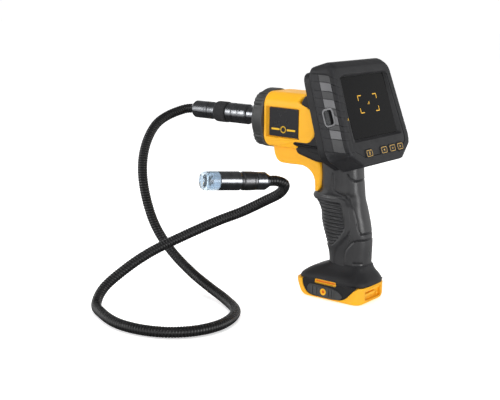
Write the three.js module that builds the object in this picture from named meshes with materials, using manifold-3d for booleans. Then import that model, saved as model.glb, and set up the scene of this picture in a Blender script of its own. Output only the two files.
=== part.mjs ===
// Cordless inspection camera: pistol grip, detachable display, gooseneck and camera head.
// Millimetres. +Z up, +Y forward along the barrel, +X to the user's right. The tool stands on its
// battery foot, and the origin is on the floor under the middle of the tool's own footprint box.

import * as THREE from 'three';
import { mergeVertices } from 'three/addons/utils/BufferGeometryUtils.js';
import Module from 'manifold-3d';

const wasm = await Module();
wasm.setup();

// ---------------------------------------------------------------- driving dimensions

const GAP = 0.3;
const FOOTPRINT_CENTRE_Y = 51.7;

const BARREL_AXIS_Z = 166.5;
const BARREL_FRONT_Y = 68.8;
const BARREL_HALF_WIDTH = 26;
const BARREL_TOP_Z = 194;
const BARREL_BOTTOM_Z = 140.5;
const BARREL_EDGE_RADIUS = 13;
const CHIN_HALF_WIDTH = 14;
const CHIN_BOTTOM_Z = 124.4;
const WALL = 2.6;

const NOSE_HALF_WIDTH = 26.3;
const NOSE_CORNER_RADIUS = 14;
const NOSE_FILLET = 3.4;
const NOSE_BORE_RADIUS = 11.4;
const NOSE_END_Y = 82.7;
const SOCKET_RADIUS = 10.1;
const NUT_RADIUS = 10.6;
const PLUG_RADIUS = 8.9;
const SOCKET_END_Y = 131;
const NUT_END_Y = 146;
const PLUG_END_Y = 155.5;
const FERRULE_END_Y = 179;

const SCREEN_TILT_DEG = 18.6;
const SCREEN_CENTRE = [0, -35, 187.6];
const GLASS_WIDTH = 76;
const GLASS_HEIGHT = 57.2;
const DISPLAY_DEPTH = 27;
const DOCK_DEPTH = 8;
const CORE_HALF_WIDTH = 41;
const BUTTON_WIDTH = 11.6;
const BUTTON_HEIGHT = 7.6;
const BUTTON_X = [-23, 2.9, 18.2, 32.4];
const BUTTON_V = -43.1;

const GRIP_HALF_WIDTH = 17;
const SPINE_HALF_WIDTH = 25.2;
const SADDLE_HALF_WIDTH = 19;
const FOOT_HALF_WIDTH = 25;
const FOOT_FRONT_Y = 30;
const FOOT_REAR_Y = -44.8;
const FOOT_HEIGHT = 17.2;
const BAY_HALF_WIDTH = 17.5;
const BAY_DEPTH = 13.5;

const NECK_RADIUS = 4.8;
const NECK_SIDES = 10;
const NECK_STEPS = 76;
const HEAD_RADIUS = 8.5;
const HEAD_LENGTH = 66.5;

// The gooseneck's route from the ferrule to the camera head, in the drawing's own frame.
const NECK_ROUTE = [
  [0, 179.4, 166.5], [0, 183, 166.4], [-3, 189, 165.4], [-20, 197.5, 159.5], [-37, 199, 151.5],
  [-56, 195, 135], [-70, 187.5, 114.5], [-78, 177, 90], [-80.5, 162, 60], [-80.5, 142, 37.5],
  [-82, 113, 19.5], [-88, 84, 10.5], [-98, 55.5, 6], [-117, 29, 5.1], [-148, 17, 5.1],
  [-175, 21, 5.1], [-195, 36, 5.1], [-206, 58, 5.1], [-208, 86, 5.1], [-198, 116, 5.1],
  [-185.5, 137, 6.7], [-171, 142.5, 17], [-153, 132, 33.5], [-133, 119.5, 47.5], [-110, 101, 61],
  [-89, 76, 76], [-76.5, 54, 87], [-69.2, 35, 98], [-66.2, 17.8, 108.6], [-69.2, 11.5, 117],
  [-77.8, 14.05, 121.3], [-84.9, 17.6, 121.9],
];
const HEAD_START = [-84.9, 17.6, 121.9];
const HEAD_DIRECTION = [-0.892, 0.444, 0.076];

// ---------------------------------------------------------------- materials

const finish = (color, roughness, metalness = 0, extra = {}) =>
  new THREE.MeshStandardMaterial({ color, roughness, metalness, ...extra });

const YELLOW = finish(0xf7b51c, 0.42);
const BLACK = finish(0x232426, 0.6);
const RUBBER = finish(0x1b1c1d, 0.85);
const SATIN_BLACK = finish(0x101112, 0.3);
const GREY = finish(0x6e7072, 0.45);
const DARK_GREY = finish(0x3a3b3d, 0.5);
const BOARD = finish(0x1f5a35, 0.55);
const METAL = finish(0xb9bcc0, 0.3, 0.9);
const BRASS = finish(0xc8a24a, 0.35, 0.9);
const GLASS = finish(0x0a0b0c, 0.08, 0, { transparent: true, opacity: 0.6 });
const CLEAR = finish(0xdfe8ee, 0.05, 0, { transparent: true, opacity: 0.4 });

// ---------------------------------------------------------------- solids and booleans

function solid(geometry) {
  const bare = geometry.clone();
  bare.deleteAttribute('normal');
  bare.deleteAttribute('uv');
  const merged = mergeVertices(bare, 1e-4);
  const index = merged.index ? merged.index.array : [...Array(merged.attributes.position.count).keys()];
  return new wasm.Manifold(new wasm.Mesh({
    numProp: 3,
    vertProperties: new Float32Array(merged.attributes.position.array),
    triVerts: new Uint32Array(index),
  }));
}

function geometryOf(body) {
  const mesh = body.getMesh();
  const geometry = new THREE.BufferGeometry();
  geometry.setAttribute('position', new THREE.BufferAttribute(new Float32Array(mesh.vertProperties), 3));
  geometry.setIndex(new THREE.BufferAttribute(new Uint32Array(mesh.triVerts), 1));
  geometry.computeVertexNormals();
  return geometry;
}

const join = (first, ...rest) => rest.reduce((sum, body) => sum.add(body), first);
const cut = (first, ...rest) => rest.reduce((left, body) => left.subtract(body), first);
const common = (first, second) => first.intersect(second);

function add(parent, name, body, material) {
  const geometry = body.isBufferGeometry ? body : geometryOf(body);
  const mesh = new THREE.Mesh(geometry, material);
  mesh.name = name;
  parent.add(mesh);
  return mesh;
}

// ---------------------------------------------------------------- basic shapes

const box = (x0, x1, y0, y1, z0, z1) =>
  solid(new THREE.BoxGeometry(x1 - x0, y1 - y0, z1 - z0)
    .translate((x0 + x1) / 2, (y0 + y1) / 2, (z0 + z1) / 2));

const outline = (points) => new THREE.Shape(points.map(([a, b]) => new THREE.Vector2(a, b)));

function roundedRect(a0, a1, b0, b1, radius) {
  const shape = new THREE.Shape();
  shape.moveTo(a0 + radius, b0);
  shape.lineTo(a1 - radius, b0);
  shape.absarc(a1 - radius, b0 + radius, radius, -Math.PI / 2, 0);
  shape.absarc(a1 - radius, b1 - radius, radius, 0, Math.PI / 2);
  shape.absarc(a0 + radius, b1 - radius, radius, Math.PI / 2, Math.PI);
  shape.absarc(a0 + radius, b0 + radius, radius, Math.PI, Math.PI * 1.5);
  return shape;
}

const ROUND_STEPS = 5;
const extrude = (shape, depth) =>
  new THREE.ExtrudeGeometry(shape, { depth, bevelEnabled: false, curveSegments: ROUND_STEPS });

// A shape drawn in (x, y), raised from z0 to z1.
const upright = (shape, z0, z1) => solid(extrude(shape, z1 - z0).translate(0, 0, z0));

// A shape drawn in (x, z), pushed from y0 to y1.
const forward = (shape, y0, y1) =>
  solid(extrude(shape, y1 - y0).rotateX(Math.PI / 2).translate(0, y1, 0));

// A shape drawn in (x, z) whose front end, at y1, is rounded over all round its edge.
const filleted = (shape, y1, radius) =>
  solid(new THREE.ExtrudeGeometry(shape, {
    depth: 20,
    bevelThickness: radius,
    bevelSize: radius,
    bevelOffset: -radius,
    bevelSegments: 3,
    curveSegments: ROUND_STEPS,
  }).rotateX(Math.PI / 2).translate(0, y1 - radius, 0));

// A shape drawn in (y, z), pushed from x0 to x1.
const sideways = (shape, x0, x1) =>
  solid(extrude(shape, x1 - x0).rotateX(Math.PI / 2).rotateZ(Math.PI / 2).translate(x0, 0, 0));

// A turned piece about the +Y axis through (0, 0, centreZ): profile points are [radius, y].
const turned = (profile, centreZ = BARREL_AXIS_Z, segments = 24) =>
  solid(new THREE.LatheGeometry(profile.map(([r, y]) => new THREE.Vector2(r, y)), segments)
    .translate(0, 0, centreZ));

const post = (radius, x, y, z0, z1, segments = 16) =>
  solid(new THREE.CylinderGeometry(radius, radius, z1 - z0, segments)
    .rotateX(Math.PI / 2).translate(x, y, (z0 + z1) / 2));

const rod = (radius, x0, x1, y, z, segments = 20) =>
  solid(new THREE.CylinderGeometry(radius, radius, x1 - x0, segments)
    .rotateZ(Math.PI / 2).translate((x0 + x1) / 2, y, z));

// A cylinder pulled out to a rounded section at each level: [z, front y, rear y, half width].
function lofted(levels, shrink = 0, sides = 24, squareness = 0.78) {
  const geometry = new THREE.CylinderGeometry(1, 1, 1, sides, levels.length - 1);
  geometry.rotateX(Math.PI / 2);
  const position = geometry.attributes.position;
  for (let i = 0; i < position.count; i += 1) {
    const row = Math.round((position.getZ(i) + 0.5) * (levels.length - 1));
    const [z, front, rear, half] = levels[row];
    const round = (value) => Math.sign(value) * Math.abs(value) ** squareness;
    const x = round(position.getX(i)) * (half - shrink);
    const y = (front + rear) / 2 + round(position.getY(i)) * ((front - rear) / 2 - shrink);
    position.setXYZ(i, x, y, z);
  }
  return solid(geometry);
}

const halfOf = (body, side) =>
  common(body, side < 0 ? box(-80, -GAP / 2, -120, 240, -20, 260) : box(GAP / 2, 80, -120, 240, -20, 260));

// A body thickened by the joint gap up, down, forward and back.
const grown = (body, gap = GAP) => join(
  body.translate([0, gap, gap]), body.translate([0, gap, -gap]),
  body.translate([0, -gap, gap]), body.translate([0, -gap, -gap]),
);

// ---------------------------------------------------------------- fasteners

// Each screw is [y, z, the shell's half width there]: the driver side is the right.
const BARREL_SCREWS = [
  [58, 148.6, BARREL_HALF_WIDTH - 1], [58, 184.8, BARREL_HALF_WIDTH - 0.7], [19, 166, BARREL_HALF_WIDTH],
];
const GRIP_SCREWS = [[-6, 118, 15.7], [-17.5, 50, 16.2]];
const SCREW = { head: 2.5, shank: 1.2, headLength: 1.7, length: 10 };

const screwHoles = (places) => places.map(([y, z, face]) => join(
  rod(SCREW.head + GAP, face - SCREW.headLength - GAP, face + 3, y, z),
  rod(SCREW.shank + GAP, face - 6, face, y, z),
));

function buildScrews(parent) {
  [...BARREL_SCREWS, ...GRIP_SCREWS].forEach(([y, z, face], index) => {
    const head = rod(SCREW.head, face - SCREW.headLength, face - 0.2, y, z);
    const shank = rod(SCREW.shank, face - SCREW.length, face - SCREW.headLength + 0.1, y, z, 12);
    const socket = rod(1.1, face - 1.1, face + 1, y, z, 6);
    add(parent, `housing_screw_${index + 1}`, cut(join(head, shank), socket), METAL);
  });
}

// ---------------------------------------------------------------- barrel housing

const FLANK_OUTLINE = [
  [BARREL_FRONT_Y, BARREL_BOTTOM_Z], [BARREL_FRONT_Y, BARREL_TOP_Z], [24, BARREL_TOP_Z],
  [28.5, 186], [23, 185], [15, 181], [9.5, 173], [8.5, 160], [13.5, 150.5], [22, 146.2],
  [32, 145.5], [34, BARREL_BOTTOM_Z],
];
const CHIN_OUTLINE = [
  [63, 150], [63, 141], [60.5, 127.8], [57.5, 125], [52, 124.4], [33, 124.6], [26.5, 122.8], [20.4, 118.4],
  [17.2, 112], [16.8, 104], [13.6, 101.5], [10.6, 105], [8, 117], [9.4, 129], [16, 135.5], [29, 136.5],
  [35, 143], [35, 150],
];
const CAVITY_OUTLINE = [
  [66.2, 144], [66.2, 190.5], [33, 190.5], [33, 181], [16.5, 178], [12.6, 170], [12.4, 161],
  [16.5, 153], [33, 150], [33, 144],
];
const CHIN_CAVITY_OUTLINE = [[61, 145], [57, 129], [42, 128.2], [36, 131], [37, 145]];

function barrelSolid() {
  const section = roundedRect(
    -BARREL_HALF_WIDTH, BARREL_HALF_WIDTH, BARREL_BOTTOM_Z, BARREL_TOP_Z, BARREL_EDGE_RADIUS,
  );
  const flank = common(
    sideways(outline(FLANK_OUTLINE), -BARREL_HALF_WIDTH, BARREL_HALF_WIDTH),
    forward(section, 0, BARREL_FRONT_Y),
  );
  const chinSection = roundedRect(-CHIN_HALF_WIDTH, CHIN_HALF_WIDTH, CHIN_BOTTOM_Z, 156, 6);
  const stripHalf = CHIN_HALF_WIDTH - 2;
  const strip = upright(roundedRect(-stripHalf, stripHalf, -10, 18.2, 5), 95, 115);
  const throat = upright(roundedRect(-stripHalf, stripHalf, -10, 40, 5), 114.5, CHIN_BOTTOM_Z + 5);
  const chin = common(
    sideways(outline(CHIN_OUTLINE), -CHIN_HALF_WIDTH, CHIN_HALF_WIDTH),
    join(forward(chinSection, 0, 70), strip, throat),
  );
  return join(flank, chin);
}

const THUMBWHEEL = { y: 50.5, z: 132.2, radius: 8.8, halfWidth: 2.4 };

function barrelCuts() {
  const cavitySection = roundedRect(-BARREL_HALF_WIDTH + WALL, BARREL_HALF_WIDTH - WALL, 144, 190.5, 10);
  const cavity = common(
    sideways(outline(CAVITY_OUTLINE), -30, 30), forward(cavitySection, 5, BARREL_FRONT_Y),
  );
  const chinCavity = sideways(outline(CHIN_CAVITY_OUTLINE), -CHIN_HALF_WIDTH + WALL, CHIN_HALF_WIDTH - WALL);
  const wheelSlot = box(
    -THUMBWHEEL.halfWidth - 0.6, THUMBWHEEL.halfWidth + 0.6,
    THUMBWHEEL.y - THUMBWHEEL.radius - 0.8, THUMBWHEEL.y + THUMBWHEEL.radius + 0.8, 120, 140,
  );
  const socketBore = turned([[0, 60], [8.4, 60], [8.4, 90], [0, 90]]);
  return [cavity, chinCavity, wheelSlot, socketBore];
}

const PLATE = { y0: 28, y1: 63.5, z0: 152, z1: 180, recess: 1.6 };

function plateRecess(side) {
  const margin = 1;
  const face = side * BARREL_HALF_WIDTH;
  const shape = roundedRect(PLATE.y0 - margin, PLATE.y1 + margin, PLATE.z0 - margin, PLATE.z1 + margin, 2);
  const inner = face - side * PLATE.recess;
  return sideways(shape, Math.min(inner, face + side), Math.max(inner, face + side));
}

function buildBarrel(parent) {
  const shell = cut(
    barrelSolid(), ...barrelCuts(), plateRecess(-1), plateRecess(1), ...screwHoles(BARREL_SCREWS),
  );
  for (const [name, side] of [['housing_left', -1], ['housing_right', 1]]) {
    add(parent, name, halfOf(shell, side), YELLOW);
  }
  for (const [name, side] of [['side_plate_left', -1], ['side_plate_right', 1]]) {
    const shape = roundedRect(PLATE.y0, PLATE.y1, PLATE.z0, PLATE.z1, 1.2);
    const back = side * (BARREL_HALF_WIDTH - PLATE.recess + GAP);
    const front = side * (BARREL_HALF_WIDTH - 0.3);
    add(parent, name, sideways(shape, Math.min(back, front), Math.max(back, front)), DARK_GREY);
  }
}

// ---------------------------------------------------------------- nose and connector

function buildNose(parent) {
  const start = BARREL_FRONT_Y + GAP;
  const section = roundedRect(
    -NOSE_HALF_WIDTH, NOSE_HALF_WIDTH, BARREL_AXIS_Z - NOSE_HALF_WIDTH, BARREL_AXIS_Z + NOSE_HALF_WIDTH,
    NOSE_CORNER_RADIUS,
  );
  const block = filleted(section, NOSE_END_Y, NOSE_FILLET);
  const bore = turned([
    [0, 60], [NOSE_BORE_RADIUS, 60], [NOSE_BORE_RADIUS, NOSE_END_Y - 1.5], [13.5, NOSE_END_Y + 1], [0, 90],
  ]);
  add(parent, 'nose_ring', cut(common(block, box(-40, 40, start, 100, 100, 220)), bore), RUBBER);
  add(parent, 'socket_body', turned([
    [0, 61.8], [13, 61.8], [13, 65.9], [8.1, 65.9], [8.1, 104], [9, 105], [SOCKET_RADIUS, 106.2],
    [SOCKET_RADIUS, 120.6], [9.4, 121.2], [9.4, 122.4], [SOCKET_RADIUS, 123],
    [SOCKET_RADIUS, 129.6], [9.2, SOCKET_END_Y], [0, SOCKET_END_Y],
  ]), SATIN_BLACK);
  add(parent, 'socket_seal', turned([
    [8.45, 90], [10.6, 90], [10.6, 92], [8.45, 92], [8.45, 90],
  ]), RUBBER);
  add(parent, 'coupling_nut', turned([
    [7.6, SOCKET_END_Y + GAP], [9.9, SOCKET_END_Y + GAP], [NUT_RADIUS, SOCKET_END_Y + 1.4],
    [NUT_RADIUS, NUT_END_Y - 1.5], [9.8, NUT_END_Y - GAP], [7.6, NUT_END_Y - GAP],
    [7.6, SOCKET_END_Y + GAP],
  ]), SATIN_BLACK);
  add(parent, 'plug_body', turned([
    [0, SOCKET_END_Y + GAP], [7.2, SOCKET_END_Y + GAP], [7.2, NUT_END_Y], [PLUG_RADIUS, NUT_END_Y],
    [PLUG_RADIUS, 149], [8, 149.6], [8, 151.4], [PLUG_RADIUS, 152], [PLUG_RADIUS, 154.6],
    [8.2, PLUG_END_Y], [0, PLUG_END_Y],
  ]), SATIN_BLACK);
  add(parent, 'cable_ferrule', turned([
    [0, PLUG_END_Y + GAP], [8.4, PLUG_END_Y + GAP], [PLUG_RADIUS, PLUG_END_Y + 1],
    [PLUG_RADIUS, FERRULE_END_Y - 4.5], [5.8, FERRULE_END_Y], [0, FERRULE_END_Y],
  ]), SATIN_BLACK);
}

// ---------------------------------------------------------------- boards and thumbwheel

function buildElectronics(parent) {
  add(parent, 'main_board', box(-8, -6.4, 34, 60.3, 149, 187), BOARD);
  add(parent, 'video_board', box(5, 6.4, 37, 60, 150, 178), BOARD);
  add(parent, 'thumbwheel', cut(
    rod(THUMBWHEEL.radius, -THUMBWHEEL.halfWidth, THUMBWHEEL.halfWidth, THUMBWHEEL.y, THUMBWHEEL.z, 32),
    rod(2.1, -5, 5, THUMBWHEEL.y, THUMBWHEEL.z),
  ), RUBBER);
  add(parent, 'thumbwheel_shaft', rod(1.8, -8, 8, THUMBWHEEL.y, THUMBWHEEL.z), METAL);
}

// ---------------------------------------------------------------- grip and spine

const GRIP_LEVELS = [
  [34.6, 1, -38.8, 16.2], [46, 2.6, -39, 16.2], [56, 6.4, -39.2, 16.6], [66, 10.2, -38.8, 17],
  [76, 12.8, -37, GRIP_HALF_WIDTH], [84, 13.6, -34.8, GRIP_HALF_WIDTH], [91, 17.2, -33, 16.6],
  [97.5, 22.8, -31.4, 15.6], [100.4, 22.2, -30.8, 15.6], [103, 16, -30.2, 16], [112, 14.5, -29, 16],
  [122, 14.5, -28, 16], [134, 15, -27, 16.2],
];
const SPINE_OUTLINE = [
  [-21, 131], [-16.2, 131], [12, 131], [20, 133], [34, 136.8], [36, 146.5], [22, 158], [22, 178],
  [26.5, 186], [22, 193.5], [4.2, 194.2],
];

function buildGrip(parent, cutters) {
  const spine = common(
    sideways(outline(SPINE_OUTLINE), -SPINE_HALF_WIDTH, SPINE_HALF_WIDTH),
    join(
      upright(roundedRect(-SPINE_HALF_WIDTH, SPINE_HALF_WIDTH, -40, 60, 4), 144, 200),
      upright(roundedRect(-SADDLE_HALF_WIDTH, SADDLE_HALF_WIDTH, -40, 60, 4), 125, 145),
    ),
  );
  const outer = join(lofted(GRIP_LEVELS), spine);
  const inner = lofted(GRIP_LEVELS.map(([z, f, r, w]) => [z, f - 1, r, w]), WALL);
  const floorOpening = lofted(GRIP_LEVELS.map(([z, f, r, w]) => [z - 3, f - 2, r, w]), WALL + 1);
  const spineRoom = box(-13, 13, 8, 19, 140, 184);
  const riser = box(-10, 10, -4, 12, 120, 146);
  const shell = cut(outer, inner, floorOpening, spineRoom, riser, ...cutters, ...screwHoles(GRIP_SCREWS));
  for (const [name, side] of [['grip_left', -1], ['grip_right', 1]]) {
    add(parent, name, halfOf(shell, side), RUBBER);
  }
}

// ---------------------------------------------------------------- foot

const SKIRT_LEVELS = [
  [FOOT_HEIGHT + GAP, FOOT_FRONT_Y - 1, FOOT_REAR_Y - 1.8, FOOT_HALF_WIDTH + 0.6],
  [20.5, 27.5, FOOT_REAR_Y - 1.4, FOOT_HALF_WIDTH + 0.4], [25, 19, -43.2, 22.6],
  [29.5, 9.6, -40.2, 18.2], [34.2, 1.2, -38.8, 16],
];
const HOOK_PAD_OUTLINE = [
  [13, 5.5], [13.4, 11], [10.6, 14.2], [-14, 13.6], [-22, 11.4], [-26.5, 7.5], [-24.5, 4.2], [-16, 2.6],
  [0, 2.6],
];
const SLOT = { y0: -18.8, y1: 5.4, z0: 15.4, z1: 20.2 };
const CHEEK_OUTLINE = [
  [19.8, FOOT_HEIGHT], [19.2, 12], [16.5, 7], [12.5, 3.6], [8, 2.4], [-16, 2.4], [-28, 5], [-34.5, 12],
  [-38.8, FOOT_HEIGHT],
  [SLOT.y0, FOOT_HEIGHT], [SLOT.y0, SLOT.z0], [SLOT.y1, SLOT.z0], [SLOT.y1, FOOT_HEIGHT],
];
const HOOK_BOSS = { y: -5.2, z: 8.6, radius: 3.6 };

function buildFoot(parent) {
  const skirt = lofted(SKIRT_LEVELS, 0, 28, 0.5);
  const skirtRoom = lofted(
    [[10, 24, -36, 20], [20.5, 22, -36, 20], [25, 14, -35.5, 18], [29.5, 6, -35, 15], [40, 0, -35, 12]],
    0, 28, 0.5,
  );
  const slotNotches = [-1, 1].map((side) => box(
    side < 0 ? -30 : FOOT_HALF_WIDTH - 1, side < 0 ? -FOOT_HALF_WIDTH + 1 : 30,
    SLOT.y0, SLOT.y1, FOOT_HEIGHT, SLOT.z1,
  ));
  add(parent, 'foot_skirt', cut(skirt, skirtRoom, ...slotNotches), BLACK);

  const ring = (inset) => roundedRect(
    -FOOT_HALF_WIDTH + inset, FOOT_HALF_WIDTH - inset, FOOT_REAR_Y + inset, FOOT_FRONT_Y - inset, 9 - inset,
  );
  const block = join(upright(ring(2), 0, 3), upright(ring(0.8), 1.4, 3.2), upright(ring(0), 3, FOOT_HEIGHT));
  const bay = box(-BAY_HALF_WIDTH, BAY_HALF_WIDTH, -34, 24, -1, BAY_DEPTH);
  const wireHole = box(-9, 9, -16, 4, 10, 20);
  const latchRecess = box(-14, 14, FOOT_REAR_Y - 1, FOOT_REAR_Y + 3, 4.5, 14.5);
  const latchBar = box(-14.5, 14.5, FOOT_REAR_Y + 1.2, FOOT_REAR_Y + 3.5, 8.4, 10.8);
  const cheekRoom = [-1, 1].map((side) => sideways(
    outline([[20.2, 2], [20.2, 20], [-41.8, 20], [-41.8, 2]]),
    side < 0 ? -30 : FOOT_HALF_WIDTH - 2, side < 0 ? -FOOT_HALF_WIDTH + 2 : 30,
  ));
  const cheekBack = [-1, 1].map((side) => sideways(
    roundedRect(SLOT.y0 + 0.4, SLOT.y1 - 0.4, SLOT.z0 + GAP, FOOT_HEIGHT, 0.2),
    side < 0 ? -FOOT_HALF_WIDTH + 0.6 : FOOT_HALF_WIDTH - 3,
    side < 0 ? -FOOT_HALF_WIDTH + 3 : FOOT_HALF_WIDTH - 0.6,
  ));
  const frame = join(cut(block, bay, wireHole, latchRecess, ...cheekRoom), latchBar, ...cheekBack);
  add(parent, 'battery_frame', frame, YELLOW);

  for (const [word, side] of [['left', -1], ['right', 1]]) {
    const inner = side * (FOOT_HALF_WIDTH - 2 + GAP);
    const outer = side * FOOT_HALF_WIDTH;
    const padOuter = side * (FOOT_HALF_WIDTH + 1.4);
    const slab = (shape, a, b) => sideways(outline(shape), Math.min(a, b), Math.max(a, b));
    add(parent, `cheek_${word}`, slab(CHEEK_OUTLINE, inner, outer), BLACK);
    const boss = rod(HOOK_BOSS.radius, Math.min(outer, padOuter) - 1, Math.max(outer, padOuter) + 1,
      HOOK_BOSS.y, HOOK_BOSS.z);
    const pad = cut(slab(HOOK_PAD_OUTLINE, outer + side * GAP, padOuter), boss);
    add(parent, `hook_pad_${word}`, pad, DARK_GREY);
    const insert = rod(HOOK_BOSS.radius - GAP, Math.min(outer + side * GAP, padOuter),
      Math.max(outer + side * GAP, padOuter), HOOK_BOSS.y, HOOK_BOSS.z);
    const thread = rod(1.7, -40, 40, HOOK_BOSS.y, HOOK_BOSS.z, 12);
    add(parent, `hook_insert_${word}`, cut(insert, thread), BRASS);
  }

  add(parent, 'terminal_block', box(-12, 12, -22, -2, 8, BAY_DEPTH - GAP), BLACK);
  for (const [index, x] of [-8, 0, 8].entries()) {
    add(parent, `battery_contact_${index + 1}`, box(x - 0.5, x + 0.5, -21, -4, 4, 7.7), BRASS);
  }
}

// ---------------------------------------------------------------- dock and display
// Both are drawn in the screen's frame: x right, y into the tool, z up along the screen.

function screenFrame() {
  const frame = new THREE.Group();
  frame.position.set(...SCREEN_CENTRE);
  frame.rotation.x = THREE.MathUtils.degToRad(-SCREEN_TILT_DEG);
  frame.updateMatrix();
  return frame;
}

function displayOutline(inset = 0, topInset = inset) {
  const top = 44.6 - topInset;
  const bottom = -54.4 + inset;
  const shape = new THREE.Shape();
  shape.moveTo(-34 + inset * 0.4, bottom);
  shape.lineTo(34 - inset * 0.4, bottom);
  shape.lineTo(51.4 - inset, -42.4 + inset * 0.3);
  shape.quadraticCurveTo(54.8 - inset, -39, 54.5 - inset, -30);
  shape.lineTo(49.8 - inset, 33 - topInset * 0.5);
  shape.quadraticCurveTo(48.8 - inset, top, 40 - inset, top);
  shape.lineTo(-40 + inset, top);
  shape.quadraticCurveTo(-48.8 + inset, top, -49.8 + inset, 33 - topInset * 0.5);
  shape.lineTo(-54.5 + inset, -30);
  shape.quadraticCurveTo(-54.8 + inset, -39, -51.4 + inset, -42.4 + inset * 0.3);
  return shape;
}

const BEZEL_DEPTH = 8;
const WINDOW_SINK = 2.4;
const RAIL = { neck: 13, head: 19, bottom: -36, top: 26 };

function displayBody() {
  const full = forward(displayOutline(), 7, DISPLAY_DEPTH - 4);
  const front = forward(displayOutline(1, 7.4), 0, 7.1);
  const middle = forward(displayOutline(0.4, 3.4), 3, 7.2);
  const rear = forward(displayOutline(2.2), DISPLAY_DEPTH - 4.1, DISPLAY_DEPTH);
  return join(full, front, middle, rear);
}

function buildBezel(parent, body) {
  const core = common(body, box(-CORE_HALF_WIDTH, CORE_HALF_WIDTH, -1, BEZEL_DEPTH, -60, 50));
  const halfW = GLASS_WIDTH / 2;
  const halfH = GLASS_HEIGHT / 2;
  const seat = box(-halfW - 0.4, halfW + 0.4, -1, WINDOW_SINK + 1.9, -halfH - 0.4, halfH + 0.4);
  const window = box(-halfW + 3, halfW - 3, 0, 9, -halfH + 2.4, halfH - 2.4);
  const back = box(-37, 37, 6, 9, -36, 36);
  const holes = BUTTON_X.map((x) => {
    const reach = BUTTON_WIDTH / 2 + 0.35;
    const rise = BUTTON_HEIGHT / 2 + 0.35;
    return box(x - reach, x + reach, -1, 9, BUTTON_V - rise, BUTTON_V + rise);
  });
  add(parent, 'display_bezel', cut(core, seat, window, back, ...holes), BLACK);
  add(parent, 'display_glass', box(
    -halfW, halfW, WINDOW_SINK, WINDOW_SINK + 1.6, -halfH, halfH,
  ), GLASS);
  BUTTON_X.forEach((x, index) => {
    const half = BUTTON_WIDTH / 2;
    const rise = BUTTON_HEIGHT / 2;
    const face = roundedRect(x - half, x + half, BUTTON_V - rise, BUTTON_V + rise, 1.6);
    add(parent, `button_${index + 1}`, forward(face, -0.5, BEZEL_DEPTH + 1), RUBBER);
  });
}

function buildRearCover(parent, body) {
  const back = common(
    body, box(-CORE_HALF_WIDTH, CORE_HALF_WIDTH, BEZEL_DEPTH + GAP, DISPLAY_DEPTH + 1, -60, 50),
  );
  const room = box(-38.8, 38.8, BEZEL_DEPTH, DISPLAY_DEPTH - 3, -50, 38);
  const neck = box(-RAIL.neck, RAIL.neck, DISPLAY_DEPTH - 1, DISPLAY_DEPTH + 3, RAIL.bottom, RAIL.top);
  const head = box(-RAIL.head, RAIL.head, DISPLAY_DEPTH + 2.5, DISPLAY_DEPTH + 4.6, RAIL.bottom, RAIL.top);
  add(parent, 'display_rear_cover', join(cut(back, room), neck, head), BLACK);
  add(parent, 'lcd_panel', box(-36.5, 36.5, 6.3, 10, -28, 28), SATIN_BLACK);
  add(parent, 'display_board', box(-36, 36, 11, 12.6, -49, 36), BOARD);
  add(parent, 'display_battery', box(-26, 26, 14, 22, -22, 16), GREY);
}

const SLIDER = { w0: 10.8, w1: 21.8, v0: -13.5, v1: 4.8, depth: 2.6, travel: 3 };
const PORT = { w0: 8, w1: 20, v0: -10, v1: 20, depth: 2.4 };

function buildBumpers(parent, body) {
  const reach = 60;
  const left = common(body, box(-reach, -CORE_HALF_WIDTH - GAP, -1, DISPLAY_DEPTH + 1, -60, 50));
  const right = common(body, box(CORE_HALF_WIDTH + GAP, reach, -1, DISPLAY_DEPTH + 1, -60, 50));
  const sliderShape = (inset, radius) => roundedRect(
    SLIDER.w0 + inset, SLIDER.w1 - inset, SLIDER.v0 + inset, SLIDER.v1 - inset, radius,
  );
  const portShape = (inset) => roundedRect(
    PORT.w0 + inset, PORT.w1 - inset, PORT.v0 + inset, PORT.v1 - inset, 1,
  );
  const sliderWell = sideways(sliderShape(0, 3.5), -reach, -47);
  const portWell = sideways(portShape(-0.4), 46.5, reach);
  add(parent, 'bumper_left', cut(left, sliderWell), RUBBER);
  add(parent, 'bumper_right', cut(right, portWell), RUBBER);

  const rim = sideways(sliderShape(GAP, 3.2), -51.8, -47.3);
  const rimHole = sideways(sliderShape(1.5, 2.2), -60, -47.9);
  add(parent, 'slider_frame', cut(rim, rimHole), GREY);
  const knob = sideways(roundedRect(15.6, 20, SLIDER.v0 + 2, SLIDER.v1 - 2, 2), -51.4, -48.2);
  add(parent, 'power_slider', knob, DARK_GREY);
  const cover = sideways(portShape(0), 48.6, 50.8);
  add(parent, 'port_cover', cover, RUBBER);
}

const RELEASE = { x: 30, half: 6, w0: 29.4, w1: 33.6, bottom: 28, top: 42.4, travel: 1.8 };

function displayRoom() {
  const front = forward(displayOutline(-GAP), -5, DISPLAY_DEPTH + GAP + 0.1);
  const dock = forward(displayOutline(3.2 - GAP), DISPLAY_DEPTH, DISPLAY_DEPTH + DOCK_DEPTH + 2 * GAP + 0.1);
  return join(front, dock).transform(screenFrame().matrix.elements);
}

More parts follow.
